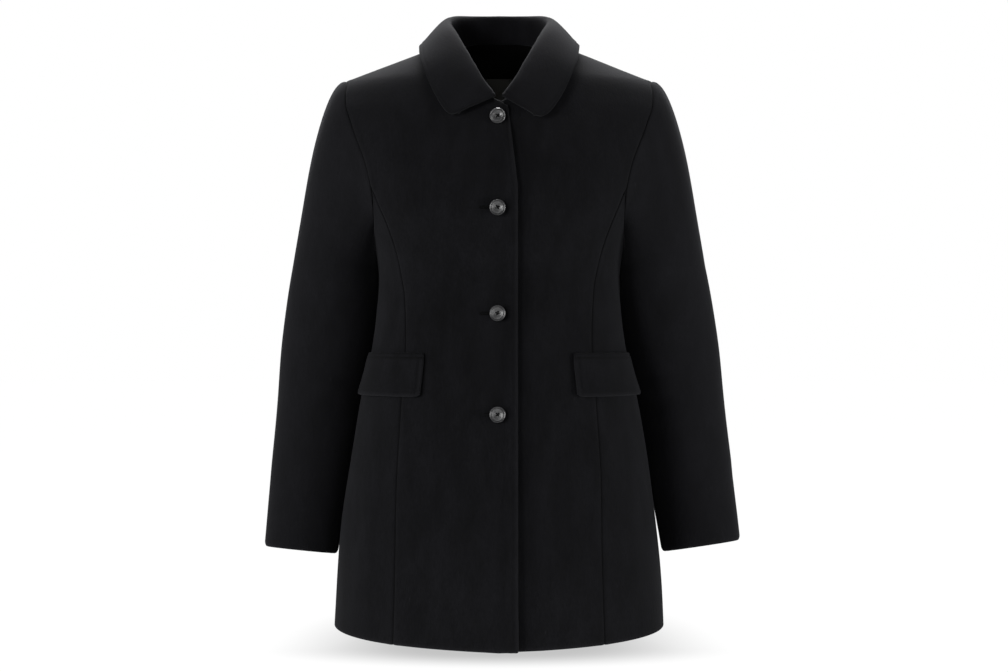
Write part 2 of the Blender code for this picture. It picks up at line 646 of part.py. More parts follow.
def pockets(material):
    """Flaps with rounded lower corners, and the welts that they hang from."""
    v = np.linspace(0.0, 1.0, FLAP_ROWS + 1)[:, None]
    u = 0.5 - 0.5 * np.cos(np.linspace(0.0, math.pi, FLAP_STEPS + 1))[None, :]
    z = FLAP_TOP_Z + (FLAP_BOTTOM_Z - FLAP_TOP_Z) * (v * np.ones_like(u))
    front_x = FLAP_FRONT_X[0] + (FLAP_FRONT_X[1] - FLAP_FRONT_X[0]) * v
    front = share_at(front_x * np.ones_like(u), z)
    run = np.linspace(0.0, 1.0, FLAP_STEPS + 1)
    width = np.linalg.norm(np.diff(body_form(front[0] + (FLAP_REAR_SHARE - front[0]) * run,
                                             z[0], "front"), axis=0), axis=-1).sum()
    share = front + (FLAP_REAR_SHARE - front) * u
    inset = np.minimum(u, 1.0 - u) * width / FLAP_CORNER
    rise = FLAP_CORNER * (1.0 - np.sqrt(1.0 - np.clip(1.0 - inset, 0.0, 1.0) ** 2))
    z = z + rise * v ** 2
    low = LAY_GAP + FLAP_FLARE * v ** 2 * np.ones_like(u)
    welt_z = np.array([WELT_TOP_Z, FLAP_TOP_Z + SEAM_GAP])[:, None] * np.ones_like(u)
    welt_front = share_at(FLAP_FRONT_X[0] * np.ones_like(welt_z), welt_z)
    welt_share = welt_front + (FLAP_REAR_SHARE - welt_front) * u
    flat = np.full_like(welt_z, LAY_GAP)
    for name, side in SIDES:
        pocket_strip(name + "_pocket_flap", side, share, z, low, low + FLAP_THICK, material)
        pocket_strip(name + "_pocket_welt", side, welt_share, welt_z, flat, flat + WELT_THICK, material)


def button(number, z, material):
    """One turned button with four sewing holes, on its shank before the front."""
    name = "button_%d" % number
    share = share_at(np.array(BUTTON_X), np.array(z))
    normal = body_normal(share, np.array(z), "front")
    mesh = bpy.data.meshes.new(name)
    bm = bmesh.new()
    verts = [bm.verts.new((radius * BUTTON_RADIUS, 0.0, height * BUTTON_THICK))
             for radius, height in BUTTON_PROFILE]
    for pair in zip(verts, verts[1:]):
        bm.edges.new(pair)
    bm.to_mesh(mesh)
    bm.free()
    piece = add_object(name, mesh, material)
    turned = piece.modifiers.new("turned", "SCREW")
    turned.steps = BUTTON_STEPS
    turned.render_steps = BUTTON_STEPS
    turned.use_merge_vertices = True
    turned.merge_threshold = MERGE
    turned.use_normal_calculate = True
    holes = bpy.data.meshes.new(name + "_holes")
    bm = bmesh.new()
    for hole in range(BUTTON_HOLES):
        angle = 2.0 * math.pi * (hole + 0.5) / BUTTON_HOLES
        made = bmesh.ops.create_cone(bm, cap_ends=True, segments=BUTTON_HOLE_STEPS,
                                     radius1=BUTTON_HOLE_RADIUS, radius2=BUTTON_HOLE_RADIUS,
                                     depth=BUTTON_HOLE_DEPTH)
        place = (BUTTON_HOLE_OUT * math.cos(angle), BUTTON_HOLE_OUT * math.sin(angle), 0.0)
        bmesh.ops.translate(bm, verts=made["verts"], vec=place)
    bm.to_mesh(holes)
    bm.free()
    cutter = bpy.data.objects.new(name + "_holes", holes)
    bpy.data.collections[COAT + "_cutters"].objects.link(cutter)
    cutter.hide_render = True
    cutter.display_type = "WIRE"
    cut = piece.modifiers.new("holes", "BOOLEAN")
    cut.object = cutter
    cut.operation = "DIFFERENCE"
    cut.solver = "EXACT"
    tilt = BUTTON_LEAN * math.atan2(normal[2], -normal[1])
    off = OVERLAP_RISE + BUTTON_STAND
    for placed in (piece, cutter):
        placed.rotation_euler = (math.pi / 2.0 - tilt, 0.0, 0.0)
        placed.location = body_form(share, np.array(z), "front") + off * normal


def label(material):
    """Bare label on the inner face of the back, across the centre seam."""
    x = np.linspace(-0.5, 0.5, LABEL_STEPS + 1)[None, :] * LABEL_WIDTH
    z = np.linspace(LABEL_BOTTOM_Z, LABEL_TOP_Z, LABEL_ROWS + 1)[:, None]
    x, z = np.broadcast_arrays(x, z)
    share = share_at(x, z)
    outer, inner = panel(share, z, "back", -(CLOTH + LABEL_GAP), LABEL_THICK)
    wall("neck_label", outer, inner, material)


def make_materials():
    """One Principled material for each stuff."""
    made = {}
    for name, (colour, roughness) in MATERIALS.items():
        material = bpy.data.materials.new(name)
        material.use_nodes = True
        shader = material.node_tree.nodes["Principled BSDF"]
        shader.inputs["Base Color"].default_value = colour + (1.0,)
        shader.inputs["Roughness"].default_value = roughness
        shader.inputs["Metallic"].default_value = 0.0
        made[name] = material
    return made


def main():
    """Builds the coat piece by piece."""
    for old in list(bpy.data.objects):
        bpy.data.objects.remove(old, do_unlink=True)
    for name in (COAT, COAT + "_cutters"):
        group = bpy.data.collections.new(name)
        bpy.context.scene.collection.children.link(group)
    stuff = make_materials()
    fronts(stuff["wool"])
    side_fronts(stuff["wool"])
    backs(stuff["wool"])
    sleeves(stuff["wool"])
    collar(stuff["wool"])
    pockets(stuff["wool"])
    for number, z in enumerate(BUTTON_Z, 1):
        button(number, z, stuff["button"])
    label(stuff["label"])


main()
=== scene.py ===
"""Short single-breasted wool overcoat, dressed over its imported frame.

Metres, +Z up. The front faces -Y and the wearer's right is -X. Each cloth piece is a closed shell
on the same form as its solid, with rolled seams, rounded edges, a lined inside and soft creases.
"""

import math

import bpy
import numpy as np
from bpy.props import FloatProperty, FloatVectorProperty, PointerProperty
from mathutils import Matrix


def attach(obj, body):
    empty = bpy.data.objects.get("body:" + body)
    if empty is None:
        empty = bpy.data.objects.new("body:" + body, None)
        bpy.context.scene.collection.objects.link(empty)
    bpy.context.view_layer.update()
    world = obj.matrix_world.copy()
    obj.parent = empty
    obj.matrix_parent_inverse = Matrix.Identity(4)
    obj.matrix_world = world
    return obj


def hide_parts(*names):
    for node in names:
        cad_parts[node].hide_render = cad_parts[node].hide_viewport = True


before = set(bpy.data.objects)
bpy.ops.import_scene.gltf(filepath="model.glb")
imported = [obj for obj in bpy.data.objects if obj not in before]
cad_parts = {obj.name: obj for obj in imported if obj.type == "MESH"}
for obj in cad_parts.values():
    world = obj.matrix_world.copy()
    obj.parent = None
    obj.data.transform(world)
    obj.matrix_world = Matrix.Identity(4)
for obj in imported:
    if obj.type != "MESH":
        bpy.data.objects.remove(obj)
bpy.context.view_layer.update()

bl_info = {
    "name": "Wool overcoat",
    "version": (1, 0, 0),
    "blender": (4, 5, 0),
    "location": "View3D > Sidebar > Overcoat",
    "description": "Builds a short wool overcoat piece by piece, with its stage",
    "category": "Add Mesh",
}

BODY = "root"
SIDES = (("right", -1.0), ("left", 1.0))
TINY = 1e-9
STEP = 1e-4                  # for slopes worked out by small differences

# Shoulders, neck and hem
TIP_X = 0.1980
TIP_Z = -0.0485
SHOULDER_FALL = 0.390        # slope of the shoulder seam
NECK_X = TIP_X + TIP_Z / SHOULDER_FALL
FRONT_NECK_DROP = 0.0835
NECK_RUN = 0.70              # slope of the neckline past the centre front
FRONT_NECK_POWER = 1.30      # how round the front neckline is
NAPE_RISE = 0.0130
NAPE_FLAT = 3.0              # how flat the back neckline is at the nape
NECK_LEAN = 0.30             # how fast the form narrows above the neck
HEM_SIDE_Z = -0.7450
HEM_DIP = {"front": 0.0110, "back": 0.0040}  # how much lower the hem is at the centre
HEM_POWER = 1.3

# Centre front
OVERLAP = 0.0230             # how far each front goes past the centre, and less at the neck
NECK_OVERLAP = 0.0115
OVERLAP_FADE = 0.0340        # width over which the fronts come back to one level
OVERLAP_RISE = 0.0006        # how far the upper front is raised
OVERLAP_GAP = 0.0010         # between the two fronts
EDGE_LIFT = 0.0035           # how far the upper front stands off at the hem, and where that ends
EDGE_LIFT_TOP = -0.4700
EDGE_CURL = (0.0035, 0.0160)        # how far the upper front's free edge curls out, and over what width
EDGE_CURL_TOP = (-0.1300, -0.1000)

# Body form, from the hem to the nape
BODY_COLUMNS = ("z", "half_width", "front", "back", "flatness", "roundness")
BODY_LEVELS = (
    (-0.7600, 0.2120, 0.1600, 0.1540, 2.40, 2.15),
    (-0.6400, 0.2048, 0.1540, 0.1470, 2.40, 2.15),
    (-0.5400, 0.1918, 0.1460, 0.1390, 2.40, 2.15),
    (-0.4550, 0.1773, 0.1370, 0.1310, 2.40, 2.15),
    (-0.3900, 0.1634, 0.1270, 0.1190, 2.45, 2.15),
    (-0.3420, 0.1572, 0.1195, 0.1060, 2.50, 2.15),
    (-0.2980, 0.1545, 0.1190, 0.0985, 2.55, 2.10),
    (-0.2560, 0.1618, 0.1270, 0.1020, 2.70, 2.05),
    (-0.2150, 0.1800, 0.1320, 0.1070, 2.80, 2.00),
    (-0.1600, 0.2050, 0.1250, 0.1120, 2.75, 1.80),
    (-0.1100, 0.2240, 0.1090, 0.1110, 2.60, 1.65),
    (-0.0800, 0.2250, 0.0960, 0.1070, 2.50, 1.55),
    (TIP_Z, TIP_X, 0.0790, 0.0990, 2.35, 1.50),
    (-0.0200, 0.1250, 0.0560, 0.0890, 2.20, 1.45),
    (0.0000, NECK_X, 0.0380, 0.0800, 2.20, 1.45),
    (0.0150, 0.0355, 0.0260, 0.0710, 2.20, 1.45),
)

# Armholes and princess seams
ARMHOLE_BOTTOM_Z = -0.2560
ARMHOLE_MIDDLE_Z = (TIP_Z + ARMHOLE_BOTTOM_Z) / 2.0
ARMHOLE_REACH = (TIP_Z - ARMHOLE_BOTTOM_Z) / 2.0
ARMHOLE_DROP = {"front": 0.190, "back": 0.150}  # how far in it is cut, as a share of the half width
ARMHOLE_TOP_POWER = 1.0
ARMHOLE_LOW_POWER = 1.8
PRINCESS_COLUMNS = ("z", "x")
PRINCESS_LEVELS = (
    (-0.7600, 0.1290),
    (-0.6450, 0.1262),
    (-0.5350, 0.1245),
    (-0.4500, 0.1195),
    (-0.3850, 0.1150),
    (-0.3130, 0.1195),
    (-0.2650, 0.1295),
    (-0.2250, 0.1440),
)
PRINCESS_TOP_Z = -0.1920

# Sleeves
SLEEVE_COLUMNS = ("z", "outer_x", "width", "middle_y", "depth")
SLEEVE_RINGS = (
    (-0.2850, 0.2668, 0.1110, 0.0130, 0.1320),
    (-0.3200, 0.2748, 0.1200, 0.0240, 0.1230),
    (-0.3800, 0.2852, 0.1257, 0.0360, 0.1170),
    (-0.4550, 0.2942, 0.1172, 0.0400, 0.1090),
    (-0.5350, 0.3021, 0.1101, 0.0320, 0.1000),
    (-0.6000, 0.3074, 0.1049, 0.0200, 0.0930),
    (-0.6480, 0.3118, 0.1013, 0.0080, 0.0880),
)
SLEEVE_DRAWN_IN = {"right": 0.0085, "left": 0.0000}  # how far the cuff is drawn in to the body
SLEEVE_SHORT = {"right": -0.0040, "left": 0.0014}  # how much shorter it is at the cuff
SLEEVE_NARROWED = 0.80       # how much narrower it is there, as a share of what it is drawn in
CUFF_TILT_OUT = {"right": 0.105, "left": 0.150}  # slope of the cuff, up to the outside
CUFF_TILT_FRONT = 0.120      # and up to the front
CUFF_ROLL = (0.0015, 0.0055)         # how far the cuff's edge turns in, and over what length
SLEEVE_PAINTED_LIGHT = 0.8                    # the whole sleeves are painted a little paler, as painted light
HEAD_FALL = (1.0, 2.0)       # power by which the head falls from the armhole, under the arm and on top
HEAD_PUFF = 0.0020
HEAD_PUFF_PEAK = 9.48        # brings the puff's curve to 1 at its peak
UNDERARM_TURN = (0.20, 0.90)  # where the seam turns to face the body, as minus the angle's cosine
HEAD_EASE = 0.80             # share of the head over which it turns from the body's direction to its own
SLEEVE_SEAM_FRONT = 0.8      # share of the way from the princess seam to the underarm
SLEEVE_SEAM_BACK = 14.0 * math.pi / 9.0

# Collar
COLLAR_WALL = 0.0032
COLLAR_LIFT = 0.0065         # how far its edge stands off the shoulder
COLLAR_FOOT = -0.0004        # how far up from the neckline it starts
FALL_BOW = (0.40, 0.18)      # how much the fall bows out, at the front and at the back
COLLAR_SWING = {"right": (0.0, 0.0), "left": (-0.0050, -0.0016)}  # how far each point is moved, in x and y
COLLAR_POINT = 0.25          # share of the half collar that its point takes up
END_BOW = 0.35               # share of the bow that is left at the point
COLLAR_BACK = (0.25, 0.60)   # shares between which the front turns into the back
FOLD_RADIUS = 0.0060
STAND_PUCKER = 0.0006
PUCKER_RUNS = (0.0052, 0.0173)      # length of a radian of its two waves
PUCKER_SHIFT = 1.0           # by which the second one starts ahead, in radians
PUCKER_FOOT = 0.0040         # how far up the stand it starts to fade
COLLAR_EASINGS = 24          # how often its outward directions are evened out along it
COLLAR_PAINTED_LIGHT = 0.6            # it is painted a little paler all over, as painted light
COLLAR_RIM = (0.60, 0.0016)  # how much darker its very edge is painted, as painted shade against the light it catches, and how far in
COLLAR_COLUMNS = ("share", "foot", "fold_x", "fold_y", "fold_z", "edge_x", "edge_y")
COLLAR_STATIONS = (
    (0.000, 0.036, 0.0070, -0.1042, -0.0808, 0.0480, -0.1051),
    (0.045, 0.058, 0.0118, -0.1030, -0.0738, 0.0560, -0.1054),
    (0.090, 0.082, 0.0168, -0.1000, -0.0657, 0.0630, -0.1036),
    (0.140, 0.110, 0.0221, -0.0960, -0.0561, 0.0690, -0.0999),
    (0.250, 0.178, 0.0335, -0.0850, -0.0350, 0.0825, -0.0857),
    (0.370, 0.268, 0.0460, -0.0665, -0.0110, 0.0938, -0.0640),
    (0.500, 0.395, 0.0585, -0.0350, 0.0140, 0.0980, -0.0304),
    (0.620, 0.545, 0.0665, 0.0070, 0.0325, 0.0978, 0.0120),
    (0.740, 0.700, 0.0595, 0.0460, 0.0440, 0.0845, 0.0465),
    (0.870, 0.850, 0.0345, 0.0740, 0.0490, 0.0500, 0.0680),
    (1.000, 1.000, 0.0000, 0.0830, 0.0505, 0.0000, 0.0794),
)
ROOF_LOW_Z = -0.1600
ROOF_HALVINGS = 30

# Pockets
FLAP_TOP_Z = -0.4024
FLAP_BOTTOM_Z = -0.4500
FLAP_FRONT_X = (0.0901, 0.0941)  # front end of the flap, at its top and its bottom
FLAP_REAR_SHARE = 0.930      # rear end, as a share of the way to the side seam
FLAP_THICK = 0.0032
FLAP_FLARE = 0.0018          # how far its bottom stands off
FLAP_CORNER = 0.0065
FLAP_SPAN = 0.0850           # width that its columns and its round corners are worked out for
WELT_TOP_Z = -0.3962
WELT_THICK = 0.0028
WELT_TUCK = 1.2              # how far it goes under the flap, in halves of its thickness
WELT_ROWS = 5
LAY_GAP = 0.0009             # between the body and what lies on it

# Buttons
BUTTON_RADIUS = 0.0098
BUTTON_THICK = 0.0042
BUTTON_STAND = 0.0021        # from the cloth to the button's back
BUTTON_LEAN = 0.45           # share of the cloth's lean that the button takes
BUTTON_X = -0.0015
BUTTON_Z = (-0.1060, -0.2185, -0.3475, -0.4705)
BUTTON_SPIN = (0.15, -0.30, 0.42, -0.08)     # how far each is turned on its shank
# Profile from the outside of the back to the middle of the face: share of the radius and of the thickness
BUTTON_PROFILE = (
    (0.72, 0.00), (0.86, 0.12), (0.95, 0.30), (0.99, 0.48), (1.00, 0.62), (0.985, 0.80),
    (0.955, 0.93), (0.92, 1.00), (0.885, 0.97), (0.86, 0.87), (0.835, 0.75), (0.81, 0.70),
    (0.78, 0.72), (0.75, 0.78), (0.72, 0.79), (0.62, 0.73), (0.52, 0.68), (0.44, 0.65),
    (0.425, 0.61), (0.41, 0.59), (0.30, 0.58), (0.16, 0.575),
)
BUTTON_SIDES = 72
BUTTON_PULL = (0.0010, 0.0100)      # how deep and how wide the cloth is drawn in round it
BUTTON_HOLES = 4
BUTTON_HOLE_RADIUS = 0.0009
BUTTON_HOLE_OUT = 0.0022
BUTTON_HOLE_SIDES = 20
STRAND_SEAT = 0.58                  # height at which the strands cross, as a share of the thickness
STRAND_RADIUS = 0.00042
STRAND_ASIDE = 0.00045              # from the middle of a pair of strands
STRAND_ARCH = 0.42                  # height of a strand's arch, as a share of a half circle's
STRAND_SUNK = 0.0004                # how far its ends go down before the arch is flattened
SHANK_RADIUS = 0.0016
SHANK_THREAD = 0.00045
SHANK_RINGS = 4
SHANK_TOP = -0.0002
SHANK_PITCH = 0.0006

# Buttonholes
BUTTONHOLE = (-0.0205, 0.0015)      # their ends, from the button's middle
BUTTONHOLE_LIP = 0.0011             # from the slit to the middle of its stitches
BUTTONHOLE_PITCH = 0.0008
BUTTONHOLE_DIVE = 0.30              # slope of a stitch into the cloth
BUTTONHOLE_FAN = (1.2, 5)           # half the angle and the number of stitches round the outer end
BUTTONHOLE_STITCH = (0.0021, 0.0009, 0.0007)     # length, width and height

# Label
LABEL_WIDTH = 0.0350
LABEL_TOP_Z = -0.0295
LABEL_BOTTOM_Z = -0.0570
LABEL_THICK = 0.0010
LABEL_GAP = 0.0018           # between the label and the lining
LABEL_PUFF = (0.0007, 0.6)          # how far its middle stands out, and the share of that on its back
LABEL_SEWN = (4, -5)                # columns that are sewn down
LABEL_SEWN_ROWS = (0.06, 0.94, 13)  # first and last stitch up it, as shares, and how many
LABEL_STITCH = (0.0016, 0.0005, 0.0005)          # length, width and height

# How finely cloth is divided: steps in the open, and distances in from a seam or an edge
SPACING = 0.0042
NEAR = (0.0, 0.0006, 0.0013, 0.0021, 0.0029, 0.0038, 0.0048, 0.0062, 0.0083, 0.0112)
RIM_STEPS = 5
LOW_LENGTH = 0.560           # hem to underarm
NECK_LENGTH = 0.137          # half the neckline with its overlap
SHOULDER_LENGTH = 0.134
SLEEVE_RADIUS = 0.055        # about, for the places round a sleeve
ARM_FRONT_LENGTH = 0.165     # shoulder tip to princess seam
ARM_LOW_LENGTH = 0.090       # princess seam to underarm
ARM_BACK_LENGTH = 0.230      # underarm to shoulder tip
HEAD_LENGTH = 0.100          # sleeve head
ARM_LENGTH = 0.365           # sleeve below the head
COLLAR_LENGTH = 0.190        # half the collar, along its fold
STAND_LENGTH = 0.036
FALL_LENGTH = 0.060

# Seams roll into a narrow furrow. Pressed edges have a rim and a faint line where the layers end,
# and a hem is a plain soft fold. Furrows and lines are also darkened with painted shade, and
# finished edges are painted paler, for wear and as a painted sheen.
SEAM, PRESSED, HEM = "seam", "pressed", "hem"
EDGES = ("left", "right", "top", "bottom")
PANEL_EDGES = {**dict.fromkeys(EDGES, SEAM), "bottom": HEM}
SEAM_REACH = 0.0011
SWELL_AT = 0.0050
SWELL_REACH = 0.0030
RIM_LINE_AT = 0.0039
RIM_LINE_REACH = 0.0010
RIM_LINE_SHADE = 0.20
EDGE_END = (0.0060, 0.0110)
# how far in from a finished edge it is painted paler, for wear and as a painted sheen
EDGE_WEAR_AND_SHEEN_REACH = 0.0024
TURN_UP_FADE = 0.0030        # length over which a turn-up's extra thickness ends
CLOTH_SHARP = math.radians(50.0)    # angles past which an edge is left sharp
TURNED_SHARP = math.radians(40.0)

# Creases on the body: face, both ends as distance from the centre and height, then width and depth.
# A depth above 0 is a ridge, and below 0 a trough.
BODY_CREASES = (
    ("front", 0.066, -0.480, 0.074, -0.735, 0.020, 0.0016),
    ("front", 0.040, -0.520, 0.043, -0.740, 0.013, -0.0012),
    ("front", 0.104, -0.500, 0.112, -0.745, 0.014, -0.0011),
    ("front", -0.058, -0.500, -0.064, -0.745, 0.024, 0.0012),
    ("front", -0.094, -0.470, -0.101, -0.745, 0.016, -0.0012),
    ("front", -0.160, -0.520, -0.172, -0.740, 0.018, 0.0016),
    ("front", 0.158, -0.500, 0.168, -0.740, 0.016, 0.0014),
    ("front", 0.052, -0.236, 0.118, -0.262, 0.026, -0.0014),
    ("front", -0.046, -0.232, -0.122, -0.258, 0.024, -0.0013),
    ("front", -0.050, -0.150, -0.098, -0.206, 0.022, -0.0010),
    ("front", 0.060, -0.128, 0.104, -0.196, 0.024, -0.0009),
    ("front", 0.168, -0.214, 0.126, -0.170, 0.011, -0.0012),
    ("front", -0.170, -0.210, -0.132, -0.176, 0.011, -0.0013),
    ("front", 0.150, -0.300, 0.098, -0.318, 0.011, -0.0010),
    ("front", -0.150, -0.304, -0.104, -0.330, 0.012, -0.0011),
    ("front", 0.152, -0.338, 0.112, -0.350, 0.010, 0.0008),
    ("front", -0.022, -0.346, -0.066, -0.352, 0.008, 0.0006),
    ("back", 0.030, -0.300, 0.116, -0.322, 0.013, -0.0018),
    ("back", -0.020, -0.316, -0.108, -0.334, 0.014, -0.0020),
    ("back", 0.052, -0.344, 0.128, -0.352, 0.012, -0.0014),
    ("back", -0.064, -0.366, -0.132, -0.358, 0.012, -0.0012),
    ("back", 0.150, -0.205, 0.098, -0.262, 0.014, -0.0018),
    ("back", -0.152, -0.198, -0.092, -0.250, 0.014, -0.0017),
    ("back", 0.122, -0.140, 0.108, -0.232, 0.020, 0.0014),
    ("back", -0.120, -0.150, -0.104, -0.240, 0.020, 0.0013),
    ("back", 0.056, -0.470, 0.070, -0.742, 0.022, 0.0024),
    ("back", 0.102, -0.460, 0.118, -0.742, 0.018, -0.0018),
    ("back", 0.154, -0.480, 0.168, -0.740, 0.018, 0.0018),
    ("back", -0.044, -0.490, -0.052, -0.742, 0.018, -0.0016),
    ("back", -0.084, -0.470, -0.096, -0.742, 0.022, 0.0024),
    ("back", -0.140, -0.500, -0.156, -0.740, 0.018, -0.0016),
)

# Creases on a sleeve: side, both ends as angle round it (in turns) and share of the way down, then
# width and depth
SLEEVE_CREASES = (
    ("right", 0.20, 0.36, 0.46, 0.44, 0.011, -0.0018),
    ("right", 0.24, 0.47, 0.50, 0.50, 0.012, -0.0020),
    ("right", 0.22, 0.58, 0.44, 0.55, 0.012, -0.0014),
    ("right", 0.12, 0.10, 0.16, 0.70, 0.018, 0.0010),
    ("right", 0.93, 0.05, 0.90, 0.62, 0.020, 0.0012),
    ("right", 0.66, 0.30, 0.72, 0.62, 0.016, -0.0018),
    ("right", 0.40, 0.02, 0.54, 0.16, 0.014, -0.0018),
    ("right", 0.86, 0.66, 0.98, 0.86, 0.018, -0.0009),
    ("left", 0.19, 0.38, 0.45, 0.40, 0.011, -0.0017),
    ("left", 0.23, 0.50, 0.49, 0.47, 0.012, -0.0020),
    ("left", 0.26, 0.61, 0.46, 0.60, 0.012, -0.0014),
    ("left", 0.13, 0.14, 0.15, 0.78, 0.020, 0.0011),
    ("left", 0.92, 0.02, 0.91, 0.56, 0.018, 0.0011),
    ("left", 0.67, 0.26, 0.71, 0.66, 0.016, -0.0018),
    ("left", 0.41, 0.04, 0.55, 0.14, 0.014, -0.0017),
    ("left", 0.02, 0.70, 0.12, 0.90, 0.020, -0.0008),
)
CREASE_POINTS = 24
CREASE_NEAR = 3.0                   # how far its reach is worked out, in widths
CREASE_COMES = (-0.02, 0.35)        # shares of its length over which it comes and goes
CREASE_GOES = (0.65, 1.02)

# Slow unevenness of the cloth: radians for each metre along x, y and z, then height
UNEVEN = (
    (23.0, 17.0, 31.0, 0.00030),
    (-41.0, 29.0, 19.0, 0.00022),
    (11.0, -53.0, 47.0, 0.00014),
)

# Stage
FLOOR_Z = -0.7780
FLOOR_RADIUS = 14.0
FLOOR_SIDES = 96
SHADE = 0.55                         # the floor's glow right under the coat, as a share of the rest: a painted shadow
SHADE_REACH = (0.28, 0.13, 0.50)     # how far that shade goes to the sides, to the front and behind
SHADE_FADE = (0.35, 1.15)            # where it starts to fade and where it ends, in those reaches
CEILING = (0.24, 0.60, 0.10)         # where the surround starts to darken, where it ends and the glow left
COAT_MIDDLE = (0.0, 0.0, -0.38)
# Lamps: name, place, what each faces, width, power in watts
LAMPS = (
    ("key", (-1.9, -2.2, 0.4), COAT_MIDDLE, 1.0, 98.0),
    ("left", (-2.1, -1.0, -0.5), COAT_MIDDLE, 0.9, 60.0),
    ("right", (2.2, -0.7, -0.45), COAT_MIDDLE, 0.9, 74.0),
    ("over", (0.0, 1.3, 2.2), COAT_MIDDLE, 2.0, 300.0),
    ("table", (0.9, -0.6, FLOOR_Z + 0.01), (0.9, -0.6, 1.0), 1.0, 8.0),
    ("hem", (0.0, -0.3, FLOOR_Z + 0.01), (0.0, -0.3, 1.0), 0.5, 1.2),
)
CAMERA_AT = (0.0064, -2.3, -0.375)
CAMERA_SENSOR = 36.0
CAMERA_LENS = 63.7

WAVE_BAND = math.pi / 10.0           # distance between the bands of a wave texture at scale 1


def linear(code):
    """Linear colour of an sRGB hex value."""
    parts = [int(code[i:i + 2], 16) / 255.0 for i in (1, 3, 5)]
    return tuple(p / 12.92 if p <= 0.04045 else ((p + 0.055) / 1.055) ** 2.4 for p in parts) + (1.0,)


class OvercoatSizes(bpy.types.PropertyGroup):
    """Sizes of the making-up."""

    cloth: FloatProperty(name="Cloth", description="Thickness of the wool cloth",
                         default=0.0025, min=0.001, max=0.004, unit="LENGTH", precision=4)
    seam_depth: FloatProperty(name="Seam depth", description="How far the cloth rolls in at a seam",
                              default=0.0008, min=0.0, max=0.002, unit="LENGTH", precision=4)
    seam_swell: FloatProperty(name="Seam swell", description="Rise beside a seam over its allowance",
                              default=0.0003, min=0.0, max=0.001, unit="LENGTH", precision=4)
    edge_swell: FloatProperty(name="Edge swell", description="Rise along a pressed edge",
                              default=0.0004, min=0.0, max=0.001, unit="LENGTH", precision=4)
    rim_line: FloatProperty(name="Rim line", description="Depth of the line beside a pressed edge",
                            default=0.0004, min=0.0, max=0.001, unit="LENGTH", precision=4)
    turn_up: FloatProperty(name="Turn-up", description="Depth of the wool turned up inside hem and cuffs",
                           default=0.038, min=0.02, max=0.06, unit="LENGTH", precision=3)
    facing: FloatProperty(name="Facing", description="Width of the wool facing inside the fronts",
                          default=0.075, min=0.04, max=0.10, unit="LENGTH", precision=3)
    turned: FloatProperty(name="Turned cloth", description="Extra thickness of a turn-up or facing",
                          default=0.0008, min=0.0, max=0.0015, unit="LENGTH", precision=4)
    creases: FloatProperty(name="Creases", description="Strength of the soft creases",
                           default=1.0, min=0.0, max=1.5, subtype="FACTOR")


class OvercoatColours(bpy.types.PropertyGroup):
    """Colours of the cloth, buttons and stage."""

    wool: FloatVectorProperty(name="Wool", description="Black wool melton", subtype="COLOR",
                              size=3, min=0.0, max=1.0, default=linear("#050506")[:3])
    # The colour of the fibre flecks, and the paler colour painted along edges and over the sleeves and
    # collar as painted light
    lint_and_painted_light: FloatVectorProperty(name="Nap", description="Paler fibre ends on the wool", subtype="COLOR",
                              size=3, min=0.0, max=1.0, default=linear("#151517")[:3])
    lining: FloatVectorProperty(name="Lining", description="Black satin lining", subtype="COLOR",
                                size=3, min=0.0, max=1.0, default=linear("#020202")[:3])
    button: FloatVectorProperty(name="Button", description="Near black polished resin", subtype="COLOR",
                                size=3, min=0.0, max=1.0, default=linear("#161617")[:3])
    label: FloatVectorProperty(name="Label", description="Olive woven label", subtype="COLOR",
                               size=3, min=0.0, max=1.0, default=linear("#191812")[:3])
    thread: FloatVectorProperty(name="Thread", description="Black sewing thread", subtype="COLOR",
                                size=3, min=0.0, max=1.0, default=linear("#040404")[:3])
    floor: FloatVectorProperty(name="Floor", description="Glow of the studio floor", subtype="COLOR",
                               size=3, min=0.0, max=1.0, default=linear("#ffffff")[:3])


def hermite(start, end, start_slope, end_slope, t):
    """Cubic curve between two values or points with the slopes given."""
    rest = 1.0 - t
    ends = start * rest * rest * (1.0 + 2.0 * t) + end * t * t * (3.0 - 2.0 * t)
    return ends + t * rest * (start_slope * rest - end_slope * t)


def curve(columns, rows, key, name, at):
    """Smooth curve through one column of a table against another, read at the values asked for."""
    table = np.array(rows)
    xs = table[:, columns.index(key)]
    ys = table[:, columns.index(name)]
    at = np.clip(np.asarray(at, dtype=float), xs[0], xs[-1])
    gaps = np.diff(xs)
    rises = np.diff(ys) / gaps
    inner = (rises[:-1] * gaps[1:] + rises[1:] * gaps[:-1]) / (gaps[:-1] + gaps[1:])
    slopes = np.concatenate(([rises[0]], inner, [rises[-1]]))
    i = np.clip(np.searchsorted(xs, at) - 1, 0, len(xs) - 2)
    return hermite(ys[i], ys[i + 1], gaps[i] * slopes[i], gaps[i] * slopes[i + 1], (at - xs[i]) / gaps[i])


def smooth(at, low, high):
    """Eased step from 0 at low to 1 at high."""
    t = np.clip((at - low) / (high - low), 0.0, 1.0)
    return t * t * (3.0 - 2.0 * t)


def unit(vectors):
    """Vectors of length one."""
    return vectors / np.maximum(np.linalg.norm(vectors, axis=-1, keepdims=True), TINY)


def level(name, z):
    """One column of the body table at each height."""
    return curve(BODY_COLUMNS, BODY_LEVELS, "z", name, z)


def half_width(z):
    """Half the body's width. It follows the shoulder seam above its tip, and the neck above that."""
    sloped = np.where(z > TIP_Z, TIP_X - (z - TIP_Z) / SHOULDER_FALL, level("half_width", z))
    return np.where(z > 0.0, NECK_X - NECK_LEAN * z, sloped)


def share_at(x, z):
    """Place round the section, from 0 at the centre to 1 at the side, for a distance from the centre."""
    flat = level("flatness", z)
    reach = np.clip(np.abs(x) / half_width(z), 0.0, 1.0)
    turn = np.arcsin(reach ** (flat / 2.0)) / (math.pi / 2.0)
    return np.sign(x) * turn ** (2.0 / flat)


